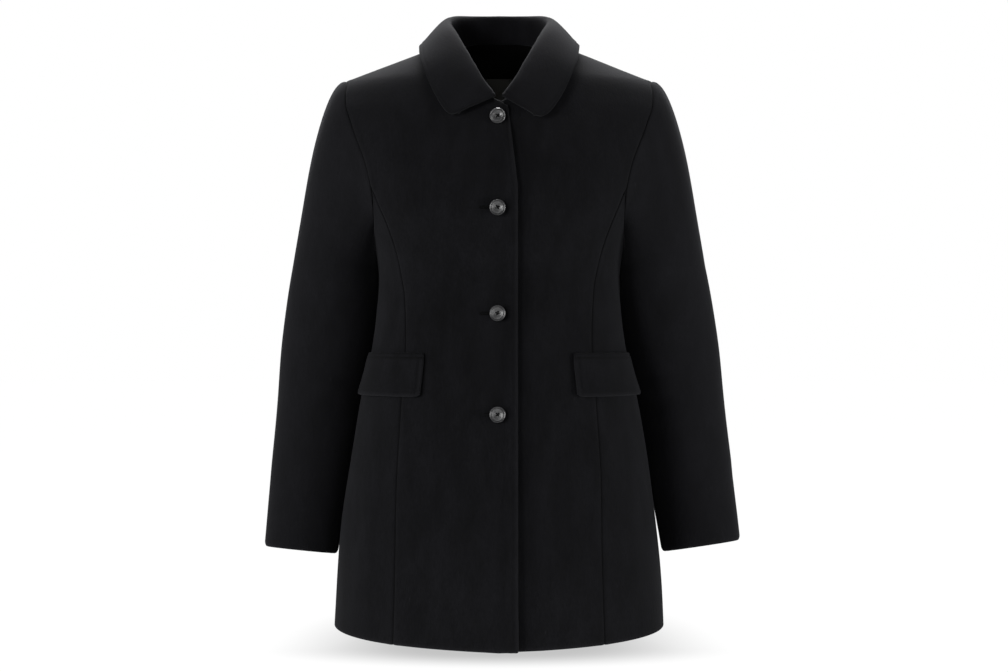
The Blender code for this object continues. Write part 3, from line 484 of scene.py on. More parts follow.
def body_form(share, z, face):
    """Point on the outer face of the body; face is front or back."""
    share, z = np.broadcast_arrays(np.asarray(share, dtype=float), np.asarray(z, dtype=float))
    flat = level("flatness", z)
    turn = np.abs(share) ** (flat / 2.0) * math.pi / 2.0
    x = np.sign(share) * half_width(z) * np.sin(turn) ** (2.0 / flat)
    out = np.clip(np.cos(turn), 0.0, 1.0) ** (2.0 / level("roundness", z))
    y = out * level(face, z) * (-1.0 if face == "front" else 1.0)
    return np.stack([x, y, z], axis=-1)


def body_normal(share, z, face):
    """Outward direction of the body's outer face."""
    share, z = np.broadcast_arrays(np.asarray(share, dtype=float), np.asarray(z, dtype=float))
    across = (body_form(np.minimum(share + STEP, 1.0), z, face)
              - body_form(np.maximum(share - STEP, -1.0), z, face))
    up = body_form(share, z + STEP, face) - body_form(share, z - STEP, face)
    return unit(np.cross(across, up) if face == "front" else np.cross(up, across))


def hem_height(share, face):
    """Height of the hem round the body, to the middle of its rounded fold."""
    fold = (sizes().cloth + sizes().turned) / 2.0
    return HEM_SIDE_Z - HEM_DIP[face] * (1.0 - np.abs(share)) ** HEM_POWER + fold


def armhole(turn, face):
    """Share and height on the armhole loop; turn runs from 0 at the shoulder tip to pi at the underarm."""
    z = ARMHOLE_MIDDLE_Z + ARMHOLE_REACH * np.cos(turn)
    power = np.where(turn < math.pi / 2.0, ARMHOLE_TOP_POWER, ARMHOLE_LOW_POWER)
    cut = ARMHOLE_DROP[face] * np.clip(np.sin(turn), 0.0, 1.0) ** power
    return share_at((1.0 - cut) * half_width(z), z), z


def princess_turn():
    """Place on the armhole loop where the princess seam ends."""
    return math.acos((PRINCESS_TOP_Z - ARMHOLE_MIDDLE_Z) / ARMHOLE_REACH)


def princess(z):
    """Share of the princess seam, which ends on the armhole."""
    top_share, top_z = armhole(np.array(princess_turn()), "front")
    top = (float(top_z), float(body_form(top_share, top_z, "front")[0]))
    return share_at(curve(PRINCESS_COLUMNS, PRINCESS_LEVELS + (top,), "z", "x", z), z)


def neckline(x, face):
    """Height of the neckline at a distance from the centre."""
    out = np.clip(np.abs(x) / NECK_X, 0.0, 1.0)
    if face == "front":
        curved = -FRONT_NECK_DROP * (1.0 - out ** FRONT_NECK_POWER) ** (1.0 / FRONT_NECK_POWER)
        return np.where(x < 0.0, -FRONT_NECK_DROP + NECK_RUN * x, curved)
    return NAPE_RISE * (1.0 - out ** NAPE_FLAT) ** 2


def spread(length, start=False, end=False):
    """Places from 0 to 1 along an edge of a given length, close together at the ends asked for."""
    low = np.array(NEAR if start else NEAR[:1])
    high = length - np.array(NEAR if end else NEAR[:1])[::-1]
    count = max(2, round((high[0] - low[-1]) / SPACING) + 1)
    return np.concatenate([low[:-1], np.linspace(low[-1], high[0], count), high[1:]]) / length


def patch(left, right, bottom, top, u, v):
    """Fills four edges, each two rows of numbers, with a grid of rows and columns."""
    left, right, bottom, top = (np.array(edge).T for edge in (left, right, bottom, top))
    u = u[None, :, None]
    v = v[:, None, None]
    sides = (1.0 - u) * left[:, None] + u * right[:, None]
    ends = (1.0 - v) * bottom[None, :] + v * top[None, :]
    corners = ((1.0 - u) * (1.0 - v) * left[0] + u * (1.0 - v) * right[0]
               + (1.0 - u) * v * left[-1] + u * v * right[-1])
    grid = sides + ends - corners
    return grid[..., 0], grid[..., 1]


def on_plan(share, z, face):
    """Distance from the centre and height of places on the body."""
    return np.array([body_form(share, z, face)[..., 0], z])


def tall_patch(side, hole, centre, top, u, low, high, face):
    """A panel in two parts: up to the armhole by shares, then by distances from the centre."""
    base = centre[0, 0] + (side[0, 0] - centre[0, 0]) * u
    line = centre[:, -1:] + (side[:, -1:] - centre[:, -1:]) * u
    low_share, low_z = patch(centre, side, np.array([base, hem_height(base, face)]), line, u, low)
    foot = on_plan(*line, face)
    inner = foot[:, :1] + (top[:, :1] - foot[:, :1]) * high
    x, z = patch(inner, on_plan(*hole, face), foot, top, u, high)
    share = np.concatenate([low_share, share_at(x, z)[1:]])
    share[-1, top[0] >= NECK_X] = 1.0
    return share, np.concatenate([low_z, z[1:]])


def top_edge(first_x, neck, slope, face):
    """Distance from the centre and height along the neckline, from first_x, and the shoulder seam."""
    past = -first_x / (NECK_X - first_x)
    inside = NECK_X * np.sin(math.pi / 2.0 * np.clip((neck - past) / (1.0 - past), 0.0, 1.0))
    neck_x = np.where(neck < past, first_x * (1.0 - neck / max(past, TINY)), inside)
    slope_x = NECK_X + (TIP_X - NECK_X) * slope[1:]
    slope_z = TIP_Z + (TIP_X - slope_x) * SHOULDER_FALL
    return np.array([np.concatenate([neck_x, slope_x]), np.concatenate([neckline(neck_x, face), slope_z])])


def runs(points, axis):
    """Distance along the rows or columns of a grid, from their start."""
    steps = np.linalg.norm(np.diff(points, axis=axis), axis=-1)
    pad = [(1, 0), (0, 0)] if axis == 0 else [(0, 0), (1, 0)]
    return np.pad(np.cumsum(steps, axis=axis), pad)


def edge_distances(points):
    """Distance of each point of a grid from its four edges."""
    across, along = runs(points, 1), runs(points, 0)
    return {"left": across, "right": across[:, -1:] - across, "bottom": along, "top": along[-1:] - along}


def edge_relief(points, edges):
    """Rise beside seams and finished edges, painted shade in their furrows and beside pressed edges, and
    paler colour along finished edges, painted for wear and as a painted sheen.
    """
    rise, painted_shade, wear_and_painted_light = (np.zeros(points.shape[:2]) for _ in range(3))
    far = edge_distances(points)
    for edge, kind in edges.items():
        if kind == SEAM:
            deep = np.exp(-(far[edge] / SEAM_REACH) ** 2)
            swell = np.exp(-((far[edge] - SWELL_AT) / SWELL_REACH) ** 2)
            rise += sizes().seam_swell * swell - sizes().seam_depth * deep
        else:
            # Finished edges are painted paler, for wear and as a painted sheen
            wear_and_painted_light = np.maximum(wear_and_painted_light, np.exp(-(far[edge] / EDGE_WEAR_AND_SHEEN_REACH) ** 2))
            deep = np.zeros_like(rise)
        if kind == PRESSED:
            line = np.exp(-((far[edge] - RIM_LINE_AT) / RIM_LINE_REACH) ** 2)
            rise += sizes().edge_swell * (1.0 - smooth(far[edge], *EDGE_END)) - sizes().rim_line * line
            deep = RIM_LINE_SHADE * line
        # The seam's furrow and the line beside a pressed edge are darkened with painted shade
        painted_shade = np.maximum(painted_shade, deep)
    return rise, painted_shade, wear_and_painted_light


def uneven(points):
    """Slow waves of the cloth."""
    return sum(height * np.sin(points @ np.array(waves)) for *waves, height in UNEVEN)


def drawn_in(points):
    """Hollows where the buttons draw the fronts in."""
    depth, wide = BUTTON_PULL
    hollow = sum(np.exp(-((points[..., 0] - BUTTON_X) ** 2 + (points[..., 2] - z) ** 2) / wide ** 2)
                 for z in BUTTON_Z)
    return np.where(points[..., 1] < 0.0, -depth * hollow, 0.0)


def crease_relief(points, lines):
    """Rise at each point from soft creases, each a line of points with a width and a depth."""
    rise = np.zeros(points.shape[:-1])
    for line, width, depth in lines:
        reach = np.ptp(line, axis=0).max() + CREASE_NEAR * width
        near = np.abs(points - line.mean(axis=0)).max(axis=-1) < reach
        gaps = np.linalg.norm(points[near][:, None] - line[None], axis=-1)
        place = gaps.argmin(axis=1) / (len(line) - 1.0)
        fade = smooth(place, *CREASE_COMES) * (1.0 - smooth(place, *CREASE_GOES))
        rise[near] += depth * np.exp(-(gaps.min(axis=1) / width) ** 2) * fade
    return rise * sizes().creases


def body_crease_lines():
    """The body's creases as lines of points on its form."""
    t = np.linspace(0.0, 1.0, CREASE_POINTS)
    lines = []
    for face, x0, z0, x1, z1, width, depth in BODY_CREASES:
        z = z0 + (z1 - z0) * t
        lines.append((body_form(share_at(x0 + (x1 - x0) * t, z), z, face), width, depth))
    return lines


def sleeve_crease_lines(side):
    """One sleeve's creases as lines of points on its form, made for +X."""
    t = np.linspace(0.0, 1.0, CREASE_POINTS)
    lines = []
    for name, turn0, down0, turn1, down1, width, depth in SLEEVE_CREASES:
        if name == side:
            angle = 2.0 * math.pi * (turn0 + (turn1 - turn0) * t)
            lines.append((sleeve_point(angle, down0 + (down1 - down0) * t, side), width, depth))
    return lines


def mirrored(points, side):
    """Points of a piece made for +X, on the side asked for."""
    return points * np.array([side, 1.0, 1.0])


def armhole_points(angle):
    """Points and outward directions on the whole armhole loop; angle runs over the front to the back."""
    angle = np.mod(angle, 2.0 * math.pi)
    ahead = angle <= math.pi
    turn = np.where(ahead, angle, 2.0 * math.pi - angle)
    points = np.empty(angle.shape + (3,))
    normals = np.empty(angle.shape + (3,))
    for face, here in (("front", ahead), ("back", ~ahead)):
        share, z = armhole(turn[here], face)
        points[here] = body_form(share, z, face)
        normals[here] = body_normal(share, z, face)
    return points, normals


def sleeve_ring(angle, down, side):
    """Points on the sleeve below the armhole; angle 0 is outside, then front, inside and back."""
    first, last = SLEEVE_RINGS[0][0], SLEEVE_RINGS[-1][0]
    z = first + (last - first) * down
    outer_x, width, middle_y, depth = (
        curve(SLEEVE_COLUMNS, SLEEVE_RINGS[::-1], "z", name, z) for name in SLEEVE_COLUMNS[1:])
    drawn = SLEEVE_DRAWN_IN[side] * down
    outer_x, width = outer_x - drawn, width - drawn * SLEEVE_NARROWED
    across = width / 2.0 * np.cos(angle)
    along = -depth / 2.0 * np.sin(angle)
    height = z + down * (SLEEVE_SHORT[side] + CUFF_TILT_OUT[side] * across - CUFF_TILT_FRONT * along)
    return np.stack([outer_x - width / 2.0 + across, middle_y + along, height], axis=-1)


def sleeve_point(angle, down, side):
    """Point on the sleeve; down is below 0 in the head, from -1 at the seam, and 1 at the cuff."""
    angle, down = np.broadcast_arrays(angle, down)
    points = sleeve_ring(angle, np.clip(down, 0.0, 1.0), side)
    seam = armhole_points(angle)[0]
    share = np.clip(1.0 + down, 0.0, 1.0)[..., None]
    low, high = HEAD_FALL
    fall = share ** (low + (high - low) * (0.5 + 0.5 * np.cos(angle)))[..., None]
    ease = np.concatenate([share, share, fall], axis=-1)
    puff = HEAD_PUFF * HEAD_PUFF_PEAK * share[..., 0] * (1.0 - share[..., 0]) ** 3
    puff = puff * np.clip(np.cos(angle), 0.0, 1.0)
    return seam + (points - seam) * ease + puff[..., None] * np.array([0.0, 0.0, 1.0])


def sleeve_normal(angle, down, side):
    """Outward direction of a sleeve, which turns to the body's at the armhole."""
    around = sleeve_point(angle + STEP, down, side) - sleeve_point(angle - STEP, down, side)
    along = (sleeve_point(angle, np.minimum(down + STEP, 1.0), side)
             - sleeve_point(angle, np.maximum(down - STEP, -1.0), side))
    normal = unit(np.cross(around, along))
    body = armhole_points(angle)[1]
    low = smooth(-np.cos(angle), *UNDERARM_TURN)[..., None]
    seam = unit(body * (1.0 - low) + np.array([-1.0, 0.0, 0.0]) * low)
    ease = smooth(down, -1.0, HEAD_EASE - 1.0)[..., None]
    return unit(seam * (1.0 - ease) + normal * ease)


def roof(x, y):
    """Share, height and face of the body under a place seen from above, by halving."""
    face = "front" if y < 0.0 else "back"
    low, high = ROOF_LOW_Z, TIP_Z + (TIP_X - x) * SHOULDER_FALL
    for _ in range(ROOF_HALVINGS):
        z = (low + high) / 2.0
        out = abs(body_form(share_at(x, z), z, face)[1])
        low, high = (low, z) if out < abs(y) else (z, high)
    return share_at(x, z), z, face


def collar_station(share, side):
    """Foot, fold, edge and bow of the collar at a share of the way from its front end to the back."""
    foot_turn, fold_x, fold_y, fold_z, edge_x, edge_y = (
        float(curve(COLLAR_COLUMNS, COLLAR_STATIONS, "share", name, share)) for name in COLLAR_COLUMNS[1:])
    fold = np.array([fold_x, fold_y, fold_z])
    turn = math.pi * foot_turn
    foot_face = "front" if turn < math.pi / 2.0 else "back"
    foot_x = np.array(NECK_X * math.sin(turn))
    foot_z = neckline(foot_x, foot_face)
    foot = body_form(share_at(foot_x, foot_z), foot_z, foot_face)
    point = float(1.0 - smooth(share, 0.0, COLLAR_POINT))
    swing_x, swing_y = COLLAR_SWING[side]
    under = roof(edge_x + swing_x * point, edge_y + swing_y * point)
    out = body_normal(*under)
    edge = body_form(*under) + (COLLAR_WALL / 2.0 + COLLAR_LIFT) * out
    bow = FALL_BOW[0] + (FALL_BOW[1] - FALL_BOW[0]) * smooth(share, *COLLAR_BACK)
    bow = bow * (1.0 + (END_BOW - 1.0) * point) * np.linalg.norm(edge - fold)
    return foot + COLLAR_FOOT * unit(fold - foot), fold, edge, -bow * out


def collar_line(share, side, stand, fall_steps):
    """Middle of the collar's wall at a station, from its foot over the fold to its edge."""
    foot, fold, edge, bow = collar_station(share, side)
    up = fold - foot
    fall = edge - fold
    across = unit(edge - foot - up * np.dot(edge - foot, up) / np.dot(up, up))
    drop = np.linalg.norm(fall - across * np.dot(fall, across))
    stand_pull = across * math.sqrt(4.0 * FOLD_RADIUS * np.linalg.norm(up))
    fall_pull = across * math.sqrt(4.0 * FOLD_RADIUS * drop)
    return np.concatenate([hermite(foot, fold, up, stand_pull, stand[:, None]),
                           hermite(fold, edge, fall_pull, fall + bow, fall_steps[1:, None])])


def sizes():
    """The coat's sizes, as set in the panel."""
    return bpy.context.scene.overcoat_sizes


def colours():
    """The coat's colours, as set in the panel."""
    return bpy.context.scene.overcoat_colours


def feed(tree, node, inputs):
    """Sets a node's inputs, each to a link or a value."""
    for socket, value in inputs.items():
        if isinstance(value, bpy.types.NodeSocket):
            tree.links.new(value, node.inputs[socket])
        else:
            node.inputs[socket].default_value = value


def add(tree, kind, inputs=None, **settings):
    """Adds a node with its settings, values and links."""
    node = tree.nodes.new(kind)
    for name, value in settings.items():
        setattr(node, name, value)
    feed(tree, node, inputs or {})
    return node


def new_material(name):
    """An empty node material with its Principled shader."""
    material = bpy.data.materials.new(name)
    material.use_nodes = True
    return material, material.node_tree, material.node_tree.nodes["Principled BSDF"]


def tone(colour, factor=1.0):
    """A colour property as four numbers."""
    return tuple(min(1.0, part * factor) for part in colour) + (1.0,)


def wool_melton():
    """Fulled and brushed wool: a matte felted face whose nap lies downwards and pales at a glancing
    angle, painted a little paler along its edges for wear and as a painted sheen, paler all over on the
    sleeves and collar as painted light, darkened with painted shade in seams and edge lines, and with
    some fibre flecks caught in it."""
    material, tree, shader = new_material("wool_melton")
    place = add(tree, "ShaderNodeTexCoord").outputs["Object"]
    laid = add(tree, "ShaderNodeMapping", {"Vector": place, "Scale": (1.0, 1.0, 0.4)}).outputs["Vector"]
    cloud = add(tree, "ShaderNodeTexNoise", {"Vector": laid, "Scale": 1.0 / 0.026, "Detail": 4.0,
                                            "Roughness": 0.62})
    # Fibre ends are about 0.02 mm wide; they are drawn 0.9 mm wide so that they show.
    fibre = add(tree, "ShaderNodeTexNoise", {"Vector": laid, "Scale": 1.0 / 0.0018, "Detail": 3.0,
                                            "Roughness": 0.7})
    mixed = add(tree, "ShaderNodeMath", {0: cloud.outputs["Fac"], 1: fibre.outputs["Fac"]},
                operation="MULTIPLY")
    ramp = add(tree, "ShaderNodeMapRange", {"Value": mixed.outputs[0], "From Min": 0.14, "From Max": 0.38})
    colour = add(tree, "ShaderNodeMix", {"Factor": ramp.outputs[0], "A": tone(colours().wool, 0.60),
                                        "B": tone(colours().wool, 1.50)},
                 data_type="RGBA").outputs["Result"]
    # Lint: flecks about 0.5 mm wide and 2 mm long, lying two ways, some 20 mm apart
    for turn, apart in (((0.3, 0.6, 0.2), 0.021), ((-0.5, 0.2, 1.1), 0.027)):
        turned = add(tree, "ShaderNodeMapping", {"Vector": place, "Rotation": turn,
                                                "Scale": (1.0, 1.0, 0.25)}).outputs["Vector"]
        dots = add(tree, "ShaderNodeTexVoronoi", {"Vector": turned, "Scale": 1.0 / apart})
        fleck = add(tree, "ShaderNodeMapRange", {"Value": dots.outputs["Distance"], "From Min": 0.012,
                                                "From Max": 0.032, "To Min": 0.6, "To Max": 0.0})
        colour = add(tree, "ShaderNodeMix", {"Factor": fleck.outputs[0], "A": colour,
                                            "B": tone(colours().lint_and_painted_light)},
                     data_type="RGBA").outputs["Result"]
    # Painted light and shade: paler along finished edges (wear with a painted sheen) and on the sleeves
    # and collar all over; darker in seams, beside pressed edges, round the collar's rim and along the
    # pockets' tops
    for name, share, shade in (("wear_and_painted_light", 0.15, tone(colours().lint_and_painted_light)), ("painted_shade", 0.75, linear("#010101"))):
        spot = add(tree, "ShaderNodeAttribute", attribute_name=name)
        part = add(tree, "ShaderNodeMath", {0: spot.outputs["Fac"], 1: share}, operation="MULTIPLY")
        colour = add(tree, "ShaderNodeMix", {"Factor": part.outputs[0], "A": colour, "B": shade},
                     data_type="RGBA").outputs["Result"]
    nap = add(tree, "ShaderNodeTexNoise", {"Vector": laid, "Scale": 1.0 / 0.0030, "Detail": 4.0,
                                          "Roughness": 0.65})
    bump = add(tree, "ShaderNodeBump", {"Strength": 0.45, "Distance": 0.0008,
                                       "Height": nap.outputs["Fac"]})
    rough = add(tree, "ShaderNodeMapRange", {"Value": cloud.outputs["Fac"], "To Min": 0.86, "To Max": 1.0})
    feed(tree, shader, {"Base Color": colour, "Normal": bump.outputs["Normal"],
                        "Roughness": rough.outputs[0], "Specular IOR Level": 0.027, "Sheen Weight": 0.024,
                        "Sheen Roughness": 0.52, "Sheen Tint": linear("#d8dae2")})
    return material


def satin_lining():
    """Woven satin lining: close warp floats that shine along one direction, otherwise near black."""
    material, tree, shader = new_material("satin_lining")
    place = add(tree, "ShaderNodeUVMap", uv_map="cut").outputs["UV"]
    # Warp threads are about 0.1 mm apart; they are drawn 1.58 mm apart so that they show.
    warp = add(tree, "ShaderNodeTexWave", {"Vector": place, "Scale": WAVE_BAND / 0.00158,
                                          "Distortion": 1.5, "Detail": 2.0}, bands_direction="X")
    cloud = add(tree, "ShaderNodeTexNoise", {"Vector": place, "Scale": 1.0 / 0.040, "Detail": 2.0})
    colour = add(tree, "ShaderNodeMix", {"Factor": cloud.outputs["Fac"], "A": tone(colours().lining, 0.7),
                                        "B": tone(colours().lining, 1.4)}, data_type="RGBA")
    bump = add(tree, "ShaderNodeBump", {"Strength": 0.12, "Distance": 0.0002,
                                       "Height": warp.outputs["Fac"]})
    rough = add(tree, "ShaderNodeMapRange", {"Value": cloud.outputs["Fac"], "To Min": 0.42,
                                            "To Max": 0.56})
    feed(tree, shader, {"Base Color": colour.outputs["Result"], "Normal": bump.outputs["Normal"],
                        "Roughness": rough.outputs[0], "Specular IOR Level": 0.04})
    return material


def polished_resin():
    """Cast polyester resin, turned and polished: near black with a pearly cloud, and fine lathe rings
    that draw its highlights out into wedges."""
    material, tree, shader = new_material("polished_resin")
    place = add(tree, "ShaderNodeUVMap", uv_map="turned").outputs["UV"]
    cloud = add(tree, "ShaderNodeTexNoise", {"Vector": place, "Scale": 1.0 / 0.006, "Detail": 3.0,
                                            "Distortion": 1.2})
    colour = add(tree, "ShaderNodeMix", {"Factor": cloud.outputs["Fac"], "A": tone(colours().button, 0.5),
                                        "B": tone(colours().button, 1.6)}, data_type="RGBA")
    # Lathe rings are about 0.2 mm apart; they are drawn 0.45 mm apart so that they show.
    out = add(tree, "ShaderNodeVectorMath", {0: place}, operation="LENGTH").outputs["Value"]
    turns = add(tree, "ShaderNodeMath", {0: out, 1: 2.0 * math.pi / 0.00045}, operation="MULTIPLY")
    rings = add(tree, "ShaderNodeMath", {0: turns.outputs[0]}, operation="SINE")
    bump = add(tree, "ShaderNodeBump", {"Strength": 1.0, "Distance": 0.000030, "Height": rings.outputs[0]})
    rough = add(tree, "ShaderNodeMapRange", {"Value": cloud.outputs["Fac"], "To Min": 0.30,
                                            "To Max": 0.44})
    feed(tree, shader, {"Base Color": colour.outputs["Result"], "Normal": bump.outputs["Normal"],
                        "Roughness": rough.outputs[0], "IOR": 1.54})
    return material


def woven_label():
    """Damask-woven polyester: fine crossing threads that give an olive, slightly silky face."""
    material, tree, shader = new_material("woven_label")
    place = add(tree, "ShaderNodeUVMap", uv_map="cut").outputs["UV"]
    # Threads are about 0.15 mm apart; they are drawn 1.38 mm apart so that they show.
    waves = [add(tree, "ShaderNodeTexWave", {"Vector": place, "Scale": WAVE_BAND / 0.00138,
                                            "Distortion": 0.6}, bands_direction=way) for way in ("X", "Y")]
    weave = add(tree, "ShaderNodeMath", {0: waves[0].outputs["Fac"], 1: waves[1].outputs["Fac"]},
                operation="MULTIPLY")
    colour = add(tree, "ShaderNodeMix", {"Factor": weave.outputs[0], "A": tone(colours().label, 0.75),
                                        "B": tone(colours().label, 1.25)}, data_type="RGBA")
    bump = add(tree, "ShaderNodeBump", {"Strength": 0.25, "Distance": 0.0002, "Height": weave.outputs[0]})
    feed(tree, shader, {"Base Color": colour.outputs["Result"], "Normal": bump.outputs["Normal"],
                        "Roughness": 0.62})
    return material


def sewing_thread():
    """Twisted polyester thread: near black, with a soft painted shine on each turn of its ply."""
    material, tree, shader = new_material("sewing_thread")
    place = add(tree, "ShaderNodeTexCoord").outputs["Object"]
    # The ply turns about every 0.5 mm; along each axis it is drawn 2.37 mm long so that it shows.
    ply = add(tree, "ShaderNodeTexWave", {"Vector": place, "Scale": 2.0 * WAVE_BAND / 0.00237,
                                         "Distortion": 0.8}, bands_direction="DIAGONAL")
    # Painted highlight: the colour is paler along each turn of the ply
    colour = add(tree, "ShaderNodeMix", {"Factor": ply.outputs["Fac"], "A": tone(colours().thread, 0.6),
                                        "B": tone(colours().thread, 2.2)}, data_type="RGBA")
    feed(tree, shader, {"Base Color": colour.outputs["Result"], "Roughness": 0.9,
                        "Specular IOR Level": 0.02})
    return material


def opal_acrylic():
    """Opal acrylic table, lit from below: a white floor whose glow is dimmed round the hem in a soft,
    pale painted shadow of the coat."""
    material, tree, shader = new_material("opal_acrylic")
    place = add(tree, "ShaderNodeTexCoord").outputs["Object"]
    wide, front, behind = SHADE_REACH
    spot = add(tree, "ShaderNodeSeparateXYZ", {"Vector": place}).outputs
    side, ahead, back = (add(tree, "ShaderNodeMath", {0: spot[axis], 1: 1.0 / reach}, operation="MULTIPLY")
                         for axis, reach in (("X", wide), ("Y", -front), ("Y", behind)))
    deep = add(tree, "ShaderNodeMath", {0: ahead.outputs[0], 1: back.outputs[0]}, operation="MAXIMUM")
    flat = add(tree, "ShaderNodeCombineXYZ", {"X": side.outputs[0], "Y": deep.outputs[0]})
    away = add(tree, "ShaderNodeVectorMath", {0: flat.outputs["Vector"]}, operation="LENGTH")
    lit = add(tree, "ShaderNodeMapRange", {"Value": away.outputs["Value"], "From Min": SHADE_FADE[0],
                                          "From Max": SHADE_FADE[1]}, interpolation_type="SMOOTHSTEP")
    # Painted shadow: the glow is dimmed by distance from under the coat
    glow = add(tree, "ShaderNodeMix", {"Factor": lit.outputs[0], "A": tone(colours().floor, SHADE),
                                      "B": tone(colours().floor)}, data_type="RGBA")
    feed(tree, shader, {"Base Color": linear("#141414"), "Roughness": 0.9, "Specular IOR Level": 0.0,
                        "Emission Color": glow.outputs["Result"], "Emission Strength": 1.0})
    return material


def stuff(name):
    """One of the coat's materials, made when first asked for."""
    makers = {"wool_melton": wool_melton, "satin_lining": satin_lining, "polished_resin": polished_resin,
              "woven_label": woven_label, "sewing_thread": sewing_thread}
    return bpy.data.materials.get(name) or makers[name]()


def boundary(rows, columns):
    """Rows and columns of a grid's edge points, once round it."""
    low = [(0, c) for c in range(columns - 1)]
    right = [(r, columns - 1) for r in range(rows - 1)]
    high = [(rows - 1, c) for c in range(columns - 1, 0, -1)]
    left = [(r, 0) for r in range(rows - 1, 0, -1)]
    return np.array(low + right + high + left)


def outward(points, edges):
    """Direction out of a grid at its edge points, and how round the rim is there."""
    way = np.zeros_like(points)
    full = np.zeros(points.shape[:2])
    beside = {"left": (np.s_[:, 0], np.s_[:, 1]), "right": (np.s_[:, -1], np.s_[:, -2]),
              "bottom": (np.s_[0], np.s_[1]), "top": (np.s_[-1], np.s_[-2])}
    for edge, (rim, inside) in beside.items():
        kind = edges.get(edge, SEAM)
        way[rim] += unit(points[rim] - points[inside])
        full[rim] = np.maximum(full[rim], 0.0 if kind == SEAM else 1.0)
    return unit(way), full


def on_coat(name, mesh):
    """A mesh as a piece that rides on the coat."""
    piece = bpy.data.objects.new(name, mesh)
    bpy.context.scene.collection.objects.link(piece)
    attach(piece, BODY)
    return piece


def shell(name, outer, inner, edges, finishes, inside=None, painted_shade=None, wear_and_painted_light=None):
    """Closed cloth shell between two grids, with rounded rims at its finished edges.

    inside gives the finish of each inner point; the next gives how much painted shade each point takes in
    seams and edge lines, and the last how much paler it is painted, for wear along finished edges and as
    painted light."""
    rows, columns = outer.shape[:2]
    count = rows * columns
    number = np.arange(count).reshape(rows, columns)
    quads = np.stack([number[:-1, :-1], number[:-1, 1:], number[1:, 1:], number[1:, :-1]], axis=-1)
    quads = quads.reshape(-1, 4)
    loop = boundary(rows, columns)
    at = (loop[:, 0], loop[:, 1])
    way, full = outward((outer + inner) / 2.0, edges)
    middle, reach = (outer[at] + inner[at]) / 2.0, (outer[at] - inner[at]) / 2.0
    turns = np.linspace(0.0, math.pi, RIM_STEPS + 2)[1:-1]
    width = np.linalg.norm(reach, axis=-1)[:, None] * full[at][:, None] * way[at]
    rims = np.stack([middle + math.cos(t) * reach + math.sin(t) * width for t in turns], axis=1)
    points = np.concatenate([outer.reshape(-1, 3), inner.reshape(-1, 3), rims.reshape(-1, 3)])
    rim_number = 2 * count + np.arange(rims[..., 0].size).reshape(len(loop), -1)
    chain = np.concatenate([number[at][:, None], rim_number, count + number[at][:, None]], axis=1)
    ahead = np.roll(chain, -1, axis=0)
    rim_quads = np.stack([ahead[:, :-1], chain[:, :-1], chain[:, 1:], ahead[:, 1:]], axis=-1)
    faces = np.concatenate([quads, count + quads[:, ::-1], rim_quads.reshape(-1, 4)])
    r, c = rows // 2, columns // 2
    facing = np.cross(outer[r, c] - outer[r, c - 1], outer[r, c] - outer[r - 1, c]) @ (outer - inner)[r, c]
    if facing < 0.0:
        faces = faces[:, ::-1]
    mesh = bpy.data.meshes.new(name)
    mesh.from_pydata(points.tolist(), [], faces.tolist())
    for finish in finishes:
        mesh.materials.append(stuff(finish))
    kinds = np.zeros(len(faces), dtype=np.int32)
    if inside is not None:
        kinds[len(quads):2 * len(quads)] = inside[:-1, :-1].reshape(-1)
    mesh.polygons.foreach_set("material_index", kinds)
    for label, values in (("painted_shade", painted_shade), ("wear_and_painted_light", wear_and_painted_light)):
        values = np.zeros((rows, columns)) if values is None else values
        values = np.concatenate([values.reshape(-1), values.reshape(-1), np.repeat(values[at], RIM_STEPS)])
        mesh.attributes.new(label, "FLOAT", "POINT").data.foreach_set("value", values.astype(np.float32))
    flat = np.stack([runs(outer, 1), runs(outer, 0)], axis=-1)
    rim_flat = np.repeat(flat[at], RIM_STEPS, axis=0)
    cut = np.concatenate([flat.reshape(-1, 2), flat.reshape(-1, 2), rim_flat])
    corners = np.empty(len(mesh.loops), dtype=np.int32)
    mesh.loops.foreach_get("vertex_index", corners)
    mesh.uv_layers.new(name="cut").data.foreach_set("uv", cut[corners].astype(np.float32).reshape(-1))
    mesh.shade_smooth()
    mesh.set_sharp_from_angle(angle=CLOTH_SHARP)
    mesh.validate()
    return on_coat(name, mesh)


def as_cloth(node):
    """Hides the solid that a piece stands for."""
    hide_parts(node)


def wall(far):
    """Thickness of a lined piece at distances from its hem, more where the wool is turned up."""
    turn_up = sizes().turn_up
    return sizes().cloth + sizes().turned * (1.0 - smooth(far, turn_up, turn_up + TURN_UP_FADE))


def body_panel(name, side, share, z, face, edges, lift=0.0, facing=None):
    """One panel of the body with its relief, lined inside, with a wool turn-up at the hem."""
    base = mirrored(body_form(share, z, face), side)
    normal = mirrored(body_normal(share, z, face), side)
    rise, painted_shade, wear_and_painted_light = edge_relief(base, edges)
    slow = crease_relief(base, body_crease_lines()) + uneven(base) + drawn_in(base) + lift
    far = edge_distances(base)
    turned = far["bottom"] < sizes().turn_up
    if facing:
        turned = turned | (far[facing] < sizes().facing)
    outer = base + normal * (slow + rise)[..., None]
    inner = base + normal * (slow - wall(far["bottom"]))[..., None]
    piece = shell(name + "_cloth", outer, inner, edges, ("wool_melton", "satin_lining"),
                  np.where(turned, 0, 1), painted_shade, wear_and_painted_light)
    as_cloth(name)


def low_rows():
    """Places up the long seams from the hem to the underarm, shared by every panel."""
    return spread(LOW_LENGTH, True, True)


def up_from_hem(share, face, top):
    """Heights up a long seam, from the hem at a share to its top."""
    low = float(hem_height(share, face))
    return low + (top - low) * low_rows()


def princess_seam():
    """Share and height along the princess seam."""
    z = up_from_hem(princess(np.array(HEM_SIDE_Z)), "front", PRINCESS_TOP_Z)
    return np.array([princess(z), z])


def side_seam():
    """Share and height along the side seam."""
    z = up_from_hem(1.0, "front", ARMHOLE_BOTTOM_Z)
    return np.array([np.ones_like(z), z])


